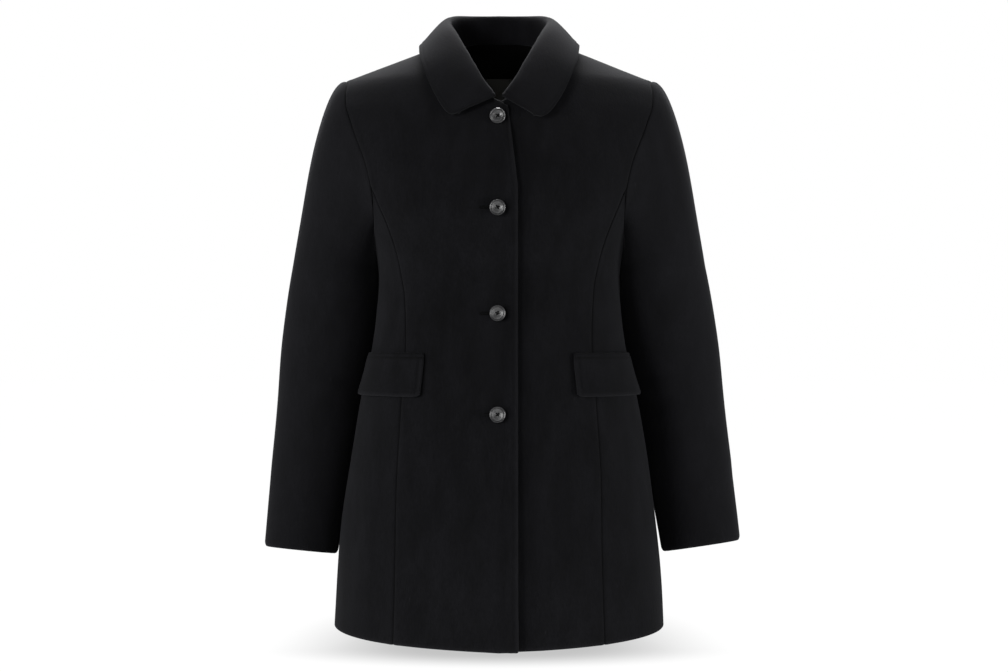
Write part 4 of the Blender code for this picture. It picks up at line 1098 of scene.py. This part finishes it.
def columns_to_shoulder(neck, slope):
    """Places across a panel that reaches from the neck to the shoulder tip."""
    part = NECK_LENGTH / (NECK_LENGTH + SHOULDER_LENGTH)
    return np.concatenate([part * neck, part + (1.0 - part) * slope[1:]])


class OVERCOAT_OT_fronts(bpy.types.Operator):
    """Makes both fronts; the right one laps over the left one"""

    bl_idname = "overcoat.fronts"
    bl_label = "Fronts"

    def execute(self, context):
        fold = sizes().cloth / 2.0
        neck, slope = spread(NECK_LENGTH, True, False), spread(SHOULDER_LENGTH, False, True)
        top = top_edge(-(NECK_OVERLAP - fold), neck, slope, "front")
        rise = spread(ARM_FRONT_LENGTH, False, True)
        hole = np.array(armhole(princess_turn() * (1.0 - rise), "front"))
        edge_z = up_from_hem(0.0, "front", PRINCESS_TOP_Z)
        edge = np.array([share_at(np.full_like(edge_z, fold - OVERLAP), edge_z), edge_z])
        share, z = tall_patch(princess_seam(), hole, edge, top, columns_to_shoulder(neck, slope),
                              low_rows(), rise, "front")
        x = body_form(share, z, "front")[..., 0]
        near = 1.0 - smooth(x, OVERLAP, OVERLAP + OVERLAP_FADE)
        free = (1.0 - smooth(x, -OVERLAP, OVERLAP)) * (1.0 - smooth(z, HEM_SIDE_Z, EDGE_LIFT_TOP))
        curl = 1.0 - smooth(x, fold - OVERLAP, fold - OVERLAP + EDGE_CURL[1])
        curl = EDGE_CURL[0] * curl * (1.0 - smooth(z, *EDGE_CURL_TOP))
        lifts = {"right": OVERLAP_RISE * near + EDGE_LIFT * free + curl,
                 "left": (OVERLAP_RISE - sizes().cloth - OVERLAP_GAP) * near}
        edges = {**PANEL_EDGES, "left": PRESSED}
        for name, side in SIDES:
            body_panel(name + "_front", side, share, z, "front", edges, lifts[name], "left")
        return {"FINISHED"}


class OVERCOAT_OT_side_fronts(bpy.types.Operator):
    """Makes both side fronts, between the princess seam and the side seam"""

    bl_idname = "overcoat.side_fronts"
    bl_label = "Side fronts"

    def execute(self, context):
        left, right = princess_seam(), side_seam()
        u = spread(ARM_LOW_LENGTH, True, True)
        turn = princess_turn()
        top = np.array(armhole(turn + (math.pi - turn) * u, "front"))
        base = left[0, 0] + (1.0 - left[0, 0]) * u
        share, z = patch(left, right, np.array([base, hem_height(base, "front")]), top, u, low_rows())
        for name, side in SIDES:
            body_panel(name + "_side_front", side, share, z, "front", PANEL_EDGES)
        return {"FINISHED"}


class OVERCOAT_OT_backs(bpy.types.Operator):
    """Makes both halves of the back, joined down the centre"""

    bl_idname = "overcoat.backs"
    bl_label = "Backs"

    def execute(self, context):
        neck, slope = spread(NECK_LENGTH, True, False), spread(SHOULDER_LENGTH, False, True)
        top = top_edge(0.0, neck, slope, "back")
        rise = spread(ARM_BACK_LENGTH, False, True)
        hole = np.array(armhole(math.pi * (1.0 - rise), "back"))
        centre_z = up_from_hem(0.0, "back", ARMHOLE_BOTTOM_Z)
        centre = np.array([np.zeros_like(centre_z), centre_z])
        share, z = tall_patch(side_seam(), hole, centre, top, columns_to_shoulder(neck, slope),
                              low_rows(), rise, "back")
        for name, side in SIDES:
            body_panel(name + "_back", side, share, z, "back", PANEL_EDGES)
        return {"FINISHED"}


class OVERCOAT_OT_sleeves(bpy.types.Operator):
    """Makes both two-piece sleeves, set in at the armholes"""

    bl_idname = "overcoat.sleeves"
    bl_label = "Sleeves"

    def execute(self, context):
        fold = (sizes().cloth + sizes().turned) / 2.0
        head = spread(HEAD_LENGTH, True, False) - 1.0
        arm = spread(ARM_LENGTH, False, True) * (1.0 - fold / ARM_LENGTH)
        down = np.concatenate([head, arm[1:]])[::-1]
        turn = princess_turn()
        front = turn + (math.pi - turn) * SLEEVE_SEAM_FRONT
        spans = {"upper_sleeve": (SLEEVE_SEAM_BACK - 2.0 * math.pi, front),
                 "under_sleeve": (front, SLEEVE_SEAM_BACK)}
        for piece, (first, last) in spans.items():
            places = spread((last - first) * SLEEVE_RADIUS, True, True)
            angle, fall = np.meshgrid(first + (last - first) * places, down)
            for name, side in SIDES:
                base = sleeve_point(angle, fall, name)
                normal = sleeve_normal(angle, fall, name)
                rise, painted_shade, wear_and_painted_light = edge_relief(base, PANEL_EDGES)
                slow = crease_relief(base, sleeve_crease_lines(name)) + uneven(base)
                far = edge_distances(base)["bottom"]
                # Painted light: the whole sleeve is painted paler
                wear_and_painted_light = np.maximum(wear_and_painted_light, SLEEVE_PAINTED_LIGHT)
                slow = slow - CUFF_ROLL[0] * np.clip(1.0 - far / CUFF_ROLL[1], 0.0, 1.0) ** 2
                outer = mirrored(base + normal * (slow + rise)[..., None], side)
                inner = mirrored(base + normal * (slow - wall(far))[..., None], side)
                node = name + "_" + piece
                made = shell(node + "_cloth", outer, inner, PANEL_EDGES, ("wool_melton", "satin_lining"),
                             np.where(far < sizes().turn_up, 0, 1), painted_shade, wear_and_painted_light)
                as_cloth(node)
        return {"FINISHED"}


class OVERCOAT_OT_collar(bpy.types.Operator):
    """Makes the turned-down collar with rounded points"""

    bl_idname = "overcoat.collar"
    bl_label = "Collar"

    def execute(self, context):
        fold = COLLAR_WALL / 2.0
        half = fold / COLLAR_LENGTH + spread(COLLAR_LENGTH, True, False) * (1.0 - fold / COLLAR_LENGTH)
        stand = spread(STAND_LENGTH)
        fall = spread(FALL_LENGTH, False, True) * (1.0 - fold / FALL_LENGTH)
        right, left = (mirrored(np.array([collar_line(share, name, stand, fall) for share in half]), side)
                       for name, side in SIDES)
        middle = np.concatenate([right, left[-2::-1]])
        way = np.cross(np.gradient(middle, axis=0), np.gradient(middle, axis=1))
        for _ in range(COLLAR_EASINGS):
            beside = np.pad(way, ((1, 1), (0, 0), (0, 0)), mode="edge")
            way = (beside[:-2] + beside[1:-1] + beside[2:]) / 3.0
        pressed = dict.fromkeys(("right", "top", "bottom"), PRESSED)
        rise, painted_shade, wear_and_painted_light = edge_relief(middle, pressed)
        # Painted light: the whole collar is painted paler
        wear_and_painted_light = np.maximum(wear_and_painted_light, COLLAR_PAINTED_LIGHT)
        # Painted shade: the collar's very edge is darkened
        shade, reach = COLLAR_RIM
        far = edge_distances(middle)
        for edge in pressed:
            painted_shade = np.maximum(painted_shade, shade * np.exp(-(far[edge] / reach) ** 2))
        up = runs(middle, 1)
        along = runs(middle, 0)[:, :1]
        pucker = np.sin(along / PUCKER_RUNS[0]) * np.sin(along / PUCKER_RUNS[1] + PUCKER_SHIFT)
        slow = uneven(middle) + STAND_PUCKER * pucker * (1.0 - smooth(up, PUCKER_FOOT, STAND_LENGTH))
        off = unit(way)
        outer = middle + off * (fold + slow + rise)[..., None]
        inner = middle + off * (slow - fold - rise)[..., None]
        piece = shell("collar_cloth", outer, inner, {"left": SEAM, **pressed}, ("wool_melton",), None,
                      painted_shade, wear_and_painted_light)
        as_cloth("collar")
        return {"FINISHED"}


class OVERCOAT_OT_pockets(bpy.types.Operator):
    """Makes the pocket flaps and the welts that they hang from"""

    bl_idname = "overcoat.pockets"
    bl_label = "Pockets"

    def execute(self, context):
        fold = FLAP_THICK / 2.0
        height = FLAP_TOP_Z - FLAP_BOTTOM_Z
        u = fold / FLAP_SPAN + spread(FLAP_SPAN, True, True)[None, :] * (1.0 - 2.0 * fold / FLAP_SPAN)
        v = spread(height, False, True)[:, None] * (1.0 - fold / height)
        z = FLAP_TOP_Z - height * (v * np.ones_like(u))
        front_x = FLAP_FRONT_X[0] + (FLAP_FRONT_X[1] - FLAP_FRONT_X[0]) * v
        front = share_at(front_x * np.ones_like(u), z)
        share = front + (FLAP_REAR_SHARE - front) * u
        inset = np.minimum(u, 1.0 - u) * FLAP_SPAN / FLAP_CORNER
        z = z + FLAP_CORNER * (1.0 - np.sqrt(1.0 - np.clip(1.0 - inset, 0.0, 1.0) ** 2)) * v ** 2
        low = LAY_GAP + FLAP_FLARE * v ** 2 * np.ones_like(u)
        fold = WELT_THICK / 2.0
        welt_v = np.linspace(0.0, 1.0, WELT_ROWS)[:, None]
        drop = FLAP_TOP_Z - WELT_TOP_Z + WELT_TUCK * fold
        welt_z = WELT_TOP_Z - fold + drop * (welt_v * np.ones_like(u))
        welt_front = share_at(FLAP_FRONT_X[0] * np.ones_like(welt_z), welt_z)
        welt_share = welt_front + (FLAP_REAR_SHARE - welt_front) * u
        shapes = {"flap": (share, z, low, FLAP_THICK, {**dict.fromkeys(EDGES, PRESSED), "bottom": HEM}),
                  "welt": (welt_share, welt_z, np.full_like(welt_z, LAY_GAP), WELT_THICK,
                           dict.fromkeys(EDGES, HEM))}
        for name, side in SIDES:
            for kind, (places, heights, lie, thick, edges) in shapes.items():
                base = mirrored(body_form(places, heights, "front"), side)
                normal = mirrored(body_normal(places, heights, "front"), side)
                rise, painted_shade, wear_and_painted_light = edge_relief(base, edges)
                # Painted shade along the top of each, and along the welt's lower edge, which lies under
                # the flap
                painted_shade[0] = 1.0
                if kind == "welt":
                    painted_shade[-1], wear_and_painted_light = 1.0, np.zeros_like(wear_and_painted_light)
                slow = crease_relief(base, body_crease_lines()) + uneven(base) + lie
                outer = base + normal * (slow + thick + rise)[..., None]
                inner = base + normal * slow[..., None]
                node = name + "_pocket_" + kind
                piece = shell(node + "_cloth", outer, inner, edges, ("wool_melton",), None, painted_shade, wear_and_painted_light)
                as_cloth(node)
        return {"FINISHED"}


def join_as(name, parts, finish):
    """Joins parts just modelled into one named piece with a finish, its place kept in its mesh."""
    bpy.ops.object.select_all(action="DESELECT")
    for part in parts:
        part.select_set(True)
    bpy.context.view_layer.objects.active = parts[0]
    if len(parts) > 1:
        bpy.ops.object.join()
    bpy.ops.object.transform_apply(location=True, rotation=True, scale=True)
    piece = bpy.context.view_layer.objects.active
    piece.name = name
    piece.data.name = name
    piece.data.materials.clear()
    piece.data.materials.append(stuff(finish))
    bpy.ops.object.shade_smooth_by_angle(angle=TURNED_SHARP)
    return piece


def turned_button():
    """A button as turned on a lathe: a disc, drawn up ring by ring, with four sewing holes."""
    bpy.ops.object.select_all(action="DESELECT")
    bpy.ops.mesh.primitive_circle_add(vertices=BUTTON_SIDES, radius=BUTTON_PROFILE[0][0] * BUTTON_RADIUS,
                                      fill_type="NGON")
    button = bpy.context.object
    bpy.ops.object.mode_set(mode="EDIT")
    bpy.ops.mesh.select_all(action="SELECT")
    for (radius, height), (wider, higher) in zip(BUTTON_PROFILE, BUTTON_PROFILE[1:]):
        lift = (higher - height) * BUTTON_THICK
        bpy.ops.mesh.extrude_region_move(TRANSFORM_OT_translate={"value": (0.0, 0.0, lift)})
        bpy.ops.transform.resize(value=(wider / radius, wider / radius, 1.0),
                                 center_override=(0.0, 0.0, higher * BUTTON_THICK))
    bpy.ops.mesh.select_all(action="SELECT")
    bpy.ops.mesh.normals_make_consistent(inside=False)
    bpy.ops.object.mode_set(mode="OBJECT")
    cutters = []
    for hole in range(BUTTON_HOLES):
        angle = 2.0 * math.pi / BUTTON_HOLES * (hole + 0.5)
        bpy.ops.mesh.primitive_cylinder_add(vertices=BUTTON_HOLE_SIDES, radius=BUTTON_HOLE_RADIUS,
                                            depth=4.0 * BUTTON_THICK,
                                            location=(BUTTON_HOLE_OUT * math.cos(angle),
                                                      BUTTON_HOLE_OUT * math.sin(angle), 0.0))
        cutters.append(bpy.context.object)
    drill = join_as("drill", cutters, "polished_resin")
    bpy.ops.object.select_all(action="DESELECT")
    bpy.context.view_layer.objects.active = button
    cut = button.modifiers.new("holes", "BOOLEAN")
    cut.object = drill
    cut.operation = "DIFFERENCE"
    cut.solver = "EXACT"
    bpy.ops.object.modifier_apply(modifier="holes")
    bpy.data.objects.remove(drill, do_unlink=True)
    piece = join_as("button", [button], "polished_resin")
    turned = piece.data.uv_layers.new(name="turned")
    corners = [piece.data.vertices[loop.vertex_index].co[:2] for loop in piece.data.loops]
    turned.data.foreach_set("uv", np.array(corners).reshape(-1))
    return piece


def button_thread():
    """Thread that holds a button: two crossed pairs of strands over it, and a wound shank under it."""
    parts = []
    for turn in (math.pi / 4.0, -math.pi / 4.0):
        for beside in (-STRAND_ASIDE, STRAND_ASIDE):
            bpy.ops.mesh.primitive_torus_add(major_radius=BUTTON_HOLE_OUT, minor_radius=STRAND_RADIUS,
                                             major_segments=28, minor_segments=10)
            strand = bpy.context.object
            bpy.ops.object.mode_set(mode="EDIT")
            bpy.ops.mesh.select_all(action="SELECT")
            bpy.ops.mesh.bisect(plane_co=(0.0, -STRAND_SUNK, 0.0), plane_no=(0.0, 1.0, 0.0), use_fill=True,
                                clear_inner=True)
            bpy.ops.object.mode_set(mode="OBJECT")
            strand.rotation_euler = (math.pi / 2.0, 0.0, turn)
            strand.scale = (1.0, STRAND_ARCH, 1.0)
            strand.location = (-beside * math.sin(turn), beside * math.cos(turn),
                               STRAND_SEAT * BUTTON_THICK)
            parts.append(strand)
    for ring in range(SHANK_RINGS):
        bpy.ops.mesh.primitive_torus_add(major_radius=SHANK_RADIUS, minor_radius=SHANK_THREAD,
                                         major_segments=24, minor_segments=8,
                                         location=(0.0, 0.0, SHANK_TOP - SHANK_PITCH * ring))
        parts.append(bpy.context.object)
    return join_as("thread", parts, "sewing_thread")


def copy_at(pattern, name, matrix):
    """A copy of a modelled piece with a mesh of its own, set in place."""
    mesh = pattern.data.copy()
    mesh.name = name
    points = np.empty(len(mesh.vertices) * 3)
    mesh.vertices.foreach_get("co", points)
    points = points.reshape(-1, 3) @ matrix[:3, :3].T + matrix[:3, 3]
    mesh.vertices.foreach_set("co", points.reshape(-1))
    mesh.update()
    piece = on_coat(name, mesh)
    return piece


def button_frame(z, spin):
    """Place of a button on the right front, turned about its own axis, as a matrix."""
    share = share_at(np.array(BUTTON_X), np.array(z))
    square = body_normal(share, np.array(z), "front")
    lean = BUTTON_LEAN * math.atan2(square[2], -square[1])
    out = np.array([0.0, -math.cos(lean), math.sin(lean)])
    right = unit(np.cross(np.array([0.0, 0.0, 1.0]), out))
    up = np.cross(out, right)
    matrix = np.eye(4)
    matrix[:3, 0] = right * math.cos(spin) + up * math.sin(spin)
    matrix[:3, 1] = up * math.cos(spin) - right * math.sin(spin)
    matrix[:3, 2] = out
    matrix[:3, 3] = body_form(share, np.array(z), "front") + (OVERLAP_RISE + BUTTON_STAND) * square
    return matrix


class OVERCOAT_OT_buttons(bpy.types.Operator):
    """Makes the four turned buttons and the thread that holds them"""

    bl_idname = "overcoat.buttons"
    bl_label = "Buttons"

    def execute(self, context):
        button, thread = turned_button(), button_thread()
        for number, (z, spin) in enumerate(zip(BUTTON_Z, BUTTON_SPIN), 1):
            matrix = button_frame(z, spin)
            piece = copy_at(button, "turned_button_%d" % number, matrix)
            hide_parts("button_%d" % number)
            copy_at(thread, "button_thread_%d" % number, matrix)
        for pattern in (button, thread):
            bpy.data.objects.remove(pattern, do_unlink=True)
        return {"FINISHED"}


def stitch_pattern():
    """One stitch: a bead with its poles along X, one unit long and wide before it is scaled."""
    bpy.ops.object.select_all(action="DESELECT")
    bpy.ops.mesh.primitive_uv_sphere_add(segments=8, ring_count=5, radius=0.5)
    bead = bpy.context.object
    bpy.ops.object.mode_set(mode="EDIT")
    bpy.ops.mesh.select_all(action="SELECT")
    bpy.ops.transform.rotate(value=math.pi / 2.0, orient_axis="Y", center_override=(0.0, 0.0, 0.0))
    bpy.ops.object.mode_set(mode="OBJECT")
    return bead


def stitches(name, places, length, width, height):
    """A row of stitches as one piece; each place is a point, a direction along it and one out."""
    bead = stitch_pattern()
    points = np.array([vertex.co for vertex in bead.data.vertices])
    faces = [list(face.vertices) for face in bead.data.polygons]
    bpy.data.objects.remove(bead, do_unlink=True)
    verts, polygons = [], []
    for middle, along, out in places:
        along = unit(along)
        aside = np.cross(out, along)
        start = len(verts) * len(points)
        verts.append(middle + points[:, :1] * length * along + points[:, 1:2] * width * aside
                     + points[:, 2:] * height * out)
        polygons += [[start + corner for corner in face] for face in faces]
    mesh = bpy.data.meshes.new(name)
    mesh.from_pydata(np.concatenate(verts).tolist(), [], polygons)
    mesh.materials.append(stuff("sewing_thread"))
    mesh.shade_smooth()
    on_coat(name, mesh)


class OVERCOAT_OT_buttonholes(bpy.types.Operator):
    """Sews the buttonholes in the right front"""

    bl_idname = "overcoat.buttonholes"
    bl_label = "Buttonholes"

    def execute(self, context):
        lip, dive = BUTTONHOLE_LIP, BUTTONHOLE_DIVE
        first, last = BUTTON_X + BUTTONHOLE[0], BUTTON_X + BUTTONHOLE[1]
        turn, count = BUTTONHOLE_FAN
        for number, z in enumerate(BUTTON_Z, 1):
            rows = [(x, z + way * lip, 0.0, way) for x in np.arange(first, last, BUTTONHOLE_PITCH)
                    for way in (-1.0, 1.0)]
            rows += [(first - lip * math.cos(t), z + lip * math.sin(t), -math.cos(t), math.sin(t))
                     for t in np.linspace(-turn, turn, count)]
            places = []
            for x, height, go_x, go_z in rows:
                share = share_at(np.array(x), np.array(height))
                out = body_normal(share, np.array(height), "front")
                point = body_form(share, np.array(height), "front") + out * OVERLAP_RISE
                along = np.array([go_x, 0.0, go_z])
                along = unit(along - out * (along @ out))
                places.append((point, along + out * dive, unit(out - along * dive)))
            stitches("buttonhole_%d" % number, places, *BUTTONHOLE_STITCH)
        return {"FINISHED"}


class OVERCOAT_OT_label(bpy.types.Operator):
    """Makes the bare label inside the back neck, sewn down at both ends"""

    bl_idname = "overcoat.label"
    bl_label = "Label"

    def execute(self, context):
        u = spread(LABEL_WIDTH, True, True)
        v = spread(LABEL_TOP_Z - LABEL_BOTTOM_Z, True, True)
        x, z = np.meshgrid((u - 0.5) * (LABEL_WIDTH - LABEL_THICK), LABEL_BOTTOM_Z + LABEL_THICK / 2.0
                           + v * (LABEL_TOP_Z - LABEL_BOTTOM_Z - LABEL_THICK))
        share = share_at(x, z)
        base, normal = body_form(share, z, "back"), body_normal(share, z, "back")
        puff = LABEL_PUFF[0] * np.sin(math.pi * u)[None, :] * np.sin(math.pi * v)[:, None]
        back = sizes().cloth + LABEL_GAP
        outer = base - normal * (back + puff + LABEL_THICK)[..., None]
        inner = base - normal * (back + LABEL_PUFF[1] * puff)[..., None]
        piece = shell("neck_label_cloth", outer, inner, dict.fromkeys(EDGES, HEM), ("woven_label",))
        as_cloth("neck_label")
        places = []
        for end in LABEL_SEWN:
            for height in np.linspace(*LABEL_SEWN_ROWS):
                row = int(round(height * (len(v) - 1)))
                places.append((outer[row, end], np.array([0.0, 0.0, 1.0]), -normal[row, end]))
        stitches("label_stitches", places, *LABEL_STITCH)
        return {"FINISHED"}


class OVERCOAT_OT_stage(bpy.types.Operator):
    """Sets the pale floor, the soft lights and the camera"""

    bl_idname = "overcoat.stage"
    bl_label = "Stage"

    def execute(self, context):
        scene = context.scene
        bpy.ops.object.select_all(action="DESELECT")
        bpy.ops.mesh.primitive_circle_add(vertices=FLOOR_SIDES, radius=FLOOR_RADIUS, fill_type="NGON",
                                          location=(0.0, 0.0, FLOOR_Z))
        bpy.ops.object.transform_apply(location=True, rotation=True, scale=True)
        floor = context.object
        floor.name = "studio_floor"
        floor.data.materials.append(opal_acrylic())
        for name, place, faced, size, power in LAMPS:
            lamp = bpy.data.lights.new(name + "_light", "AREA")
            lamp.shape = "DISK"
            lamp.size = size
            lamp.energy = power
            light = bpy.data.objects.new(name + "_light", lamp)
            scene.collection.objects.link(light)
            away = np.array(place) - np.array(faced)
            light.location = place
            light.rotation_euler = (math.acos(away[2] / np.linalg.norm(away)), 0.0,
                                    math.atan2(away[1], away[0]) + math.pi / 2.0)
            light.visible_camera = False
        world = bpy.data.worlds.new("studio")
        world.use_nodes = True
        # A white surround with a darker ceiling, so that what faces up stays dark
        tree = world.node_tree
        way = add(tree, "ShaderNodeTexCoord").outputs["Generated"]
        height = add(tree, "ShaderNodeSeparateXYZ", {"Vector": way}).outputs["Z"]
        start, end, left = CEILING
        glow = add(tree, "ShaderNodeMapRange", {"Value": height, "From Min": start, "From Max": end,
                                               "To Min": 1.0, "To Max": left})
        feed(tree, tree.nodes["Background"], {"Color": linear("#ffffff"), "Strength": glow.outputs[0]})
        scene.world = world
        scene.view_settings.view_transform = "Standard"
        view = bpy.data.cameras.new("camera")
        view.sensor_width = CAMERA_SENSOR
        view.lens = CAMERA_LENS
        camera = bpy.data.objects.new("camera", view)
        camera.location = CAMERA_AT
        camera.rotation_euler = (math.pi / 2.0, 0.0, 0.0)
        scene.collection.objects.link(camera)
        scene.camera = camera
        return {"FINISHED"}


OPERATORS = (OVERCOAT_OT_stage, OVERCOAT_OT_fronts, OVERCOAT_OT_side_fronts, OVERCOAT_OT_backs,
             OVERCOAT_OT_sleeves, OVERCOAT_OT_collar, OVERCOAT_OT_pockets, OVERCOAT_OT_buttons,
             OVERCOAT_OT_buttonholes, OVERCOAT_OT_label)


class OVERCOAT_PT_panel(bpy.types.Panel):
    """Lists the coat's sizes, colours and pieces"""

    bl_idname = "OVERCOAT_PT_panel"
    bl_label = "Overcoat"
    bl_space_type = "VIEW_3D"
    bl_region_type = "UI"
    bl_category = "Overcoat"

    def draw(self, context):
        for group in (context.scene.overcoat_sizes, context.scene.overcoat_colours):
            box = self.layout.box()
            for name in group.__annotations__:
                box.prop(group, name)
        for operator in OPERATORS:
            self.layout.operator(operator.bl_idname)


CLASSES = (OvercoatSizes, OvercoatColours) + OPERATORS + (OVERCOAT_PT_panel,)


def register():
    """Registers the coat's settings, operators and panel."""
    for item in CLASSES:
        bpy.utils.register_class(item)
    bpy.types.Scene.overcoat_sizes = PointerProperty(type=OvercoatSizes)
    bpy.types.Scene.overcoat_colours = PointerProperty(type=OvercoatColours)


def unregister():
    """Takes the settings, operators and panel away again."""
    del bpy.types.Scene.overcoat_colours
    del bpy.types.Scene.overcoat_sizes
    for item in reversed(CLASSES):
        bpy.utils.unregister_class(item)


def main():
    """Builds the coat piece by piece."""
    register()
    bpy.ops.overcoat.stage()
    bpy.ops.overcoat.fronts()
    bpy.ops.overcoat.side_fronts()
    bpy.ops.overcoat.backs()
    bpy.ops.overcoat.sleeves()
    bpy.ops.overcoat.collar()
    bpy.ops.overcoat.pockets()
    bpy.ops.overcoat.buttons()
    bpy.ops.overcoat.buttonholes()
    bpy.ops.overcoat.label()


if __name__ == "__main__":
    main()
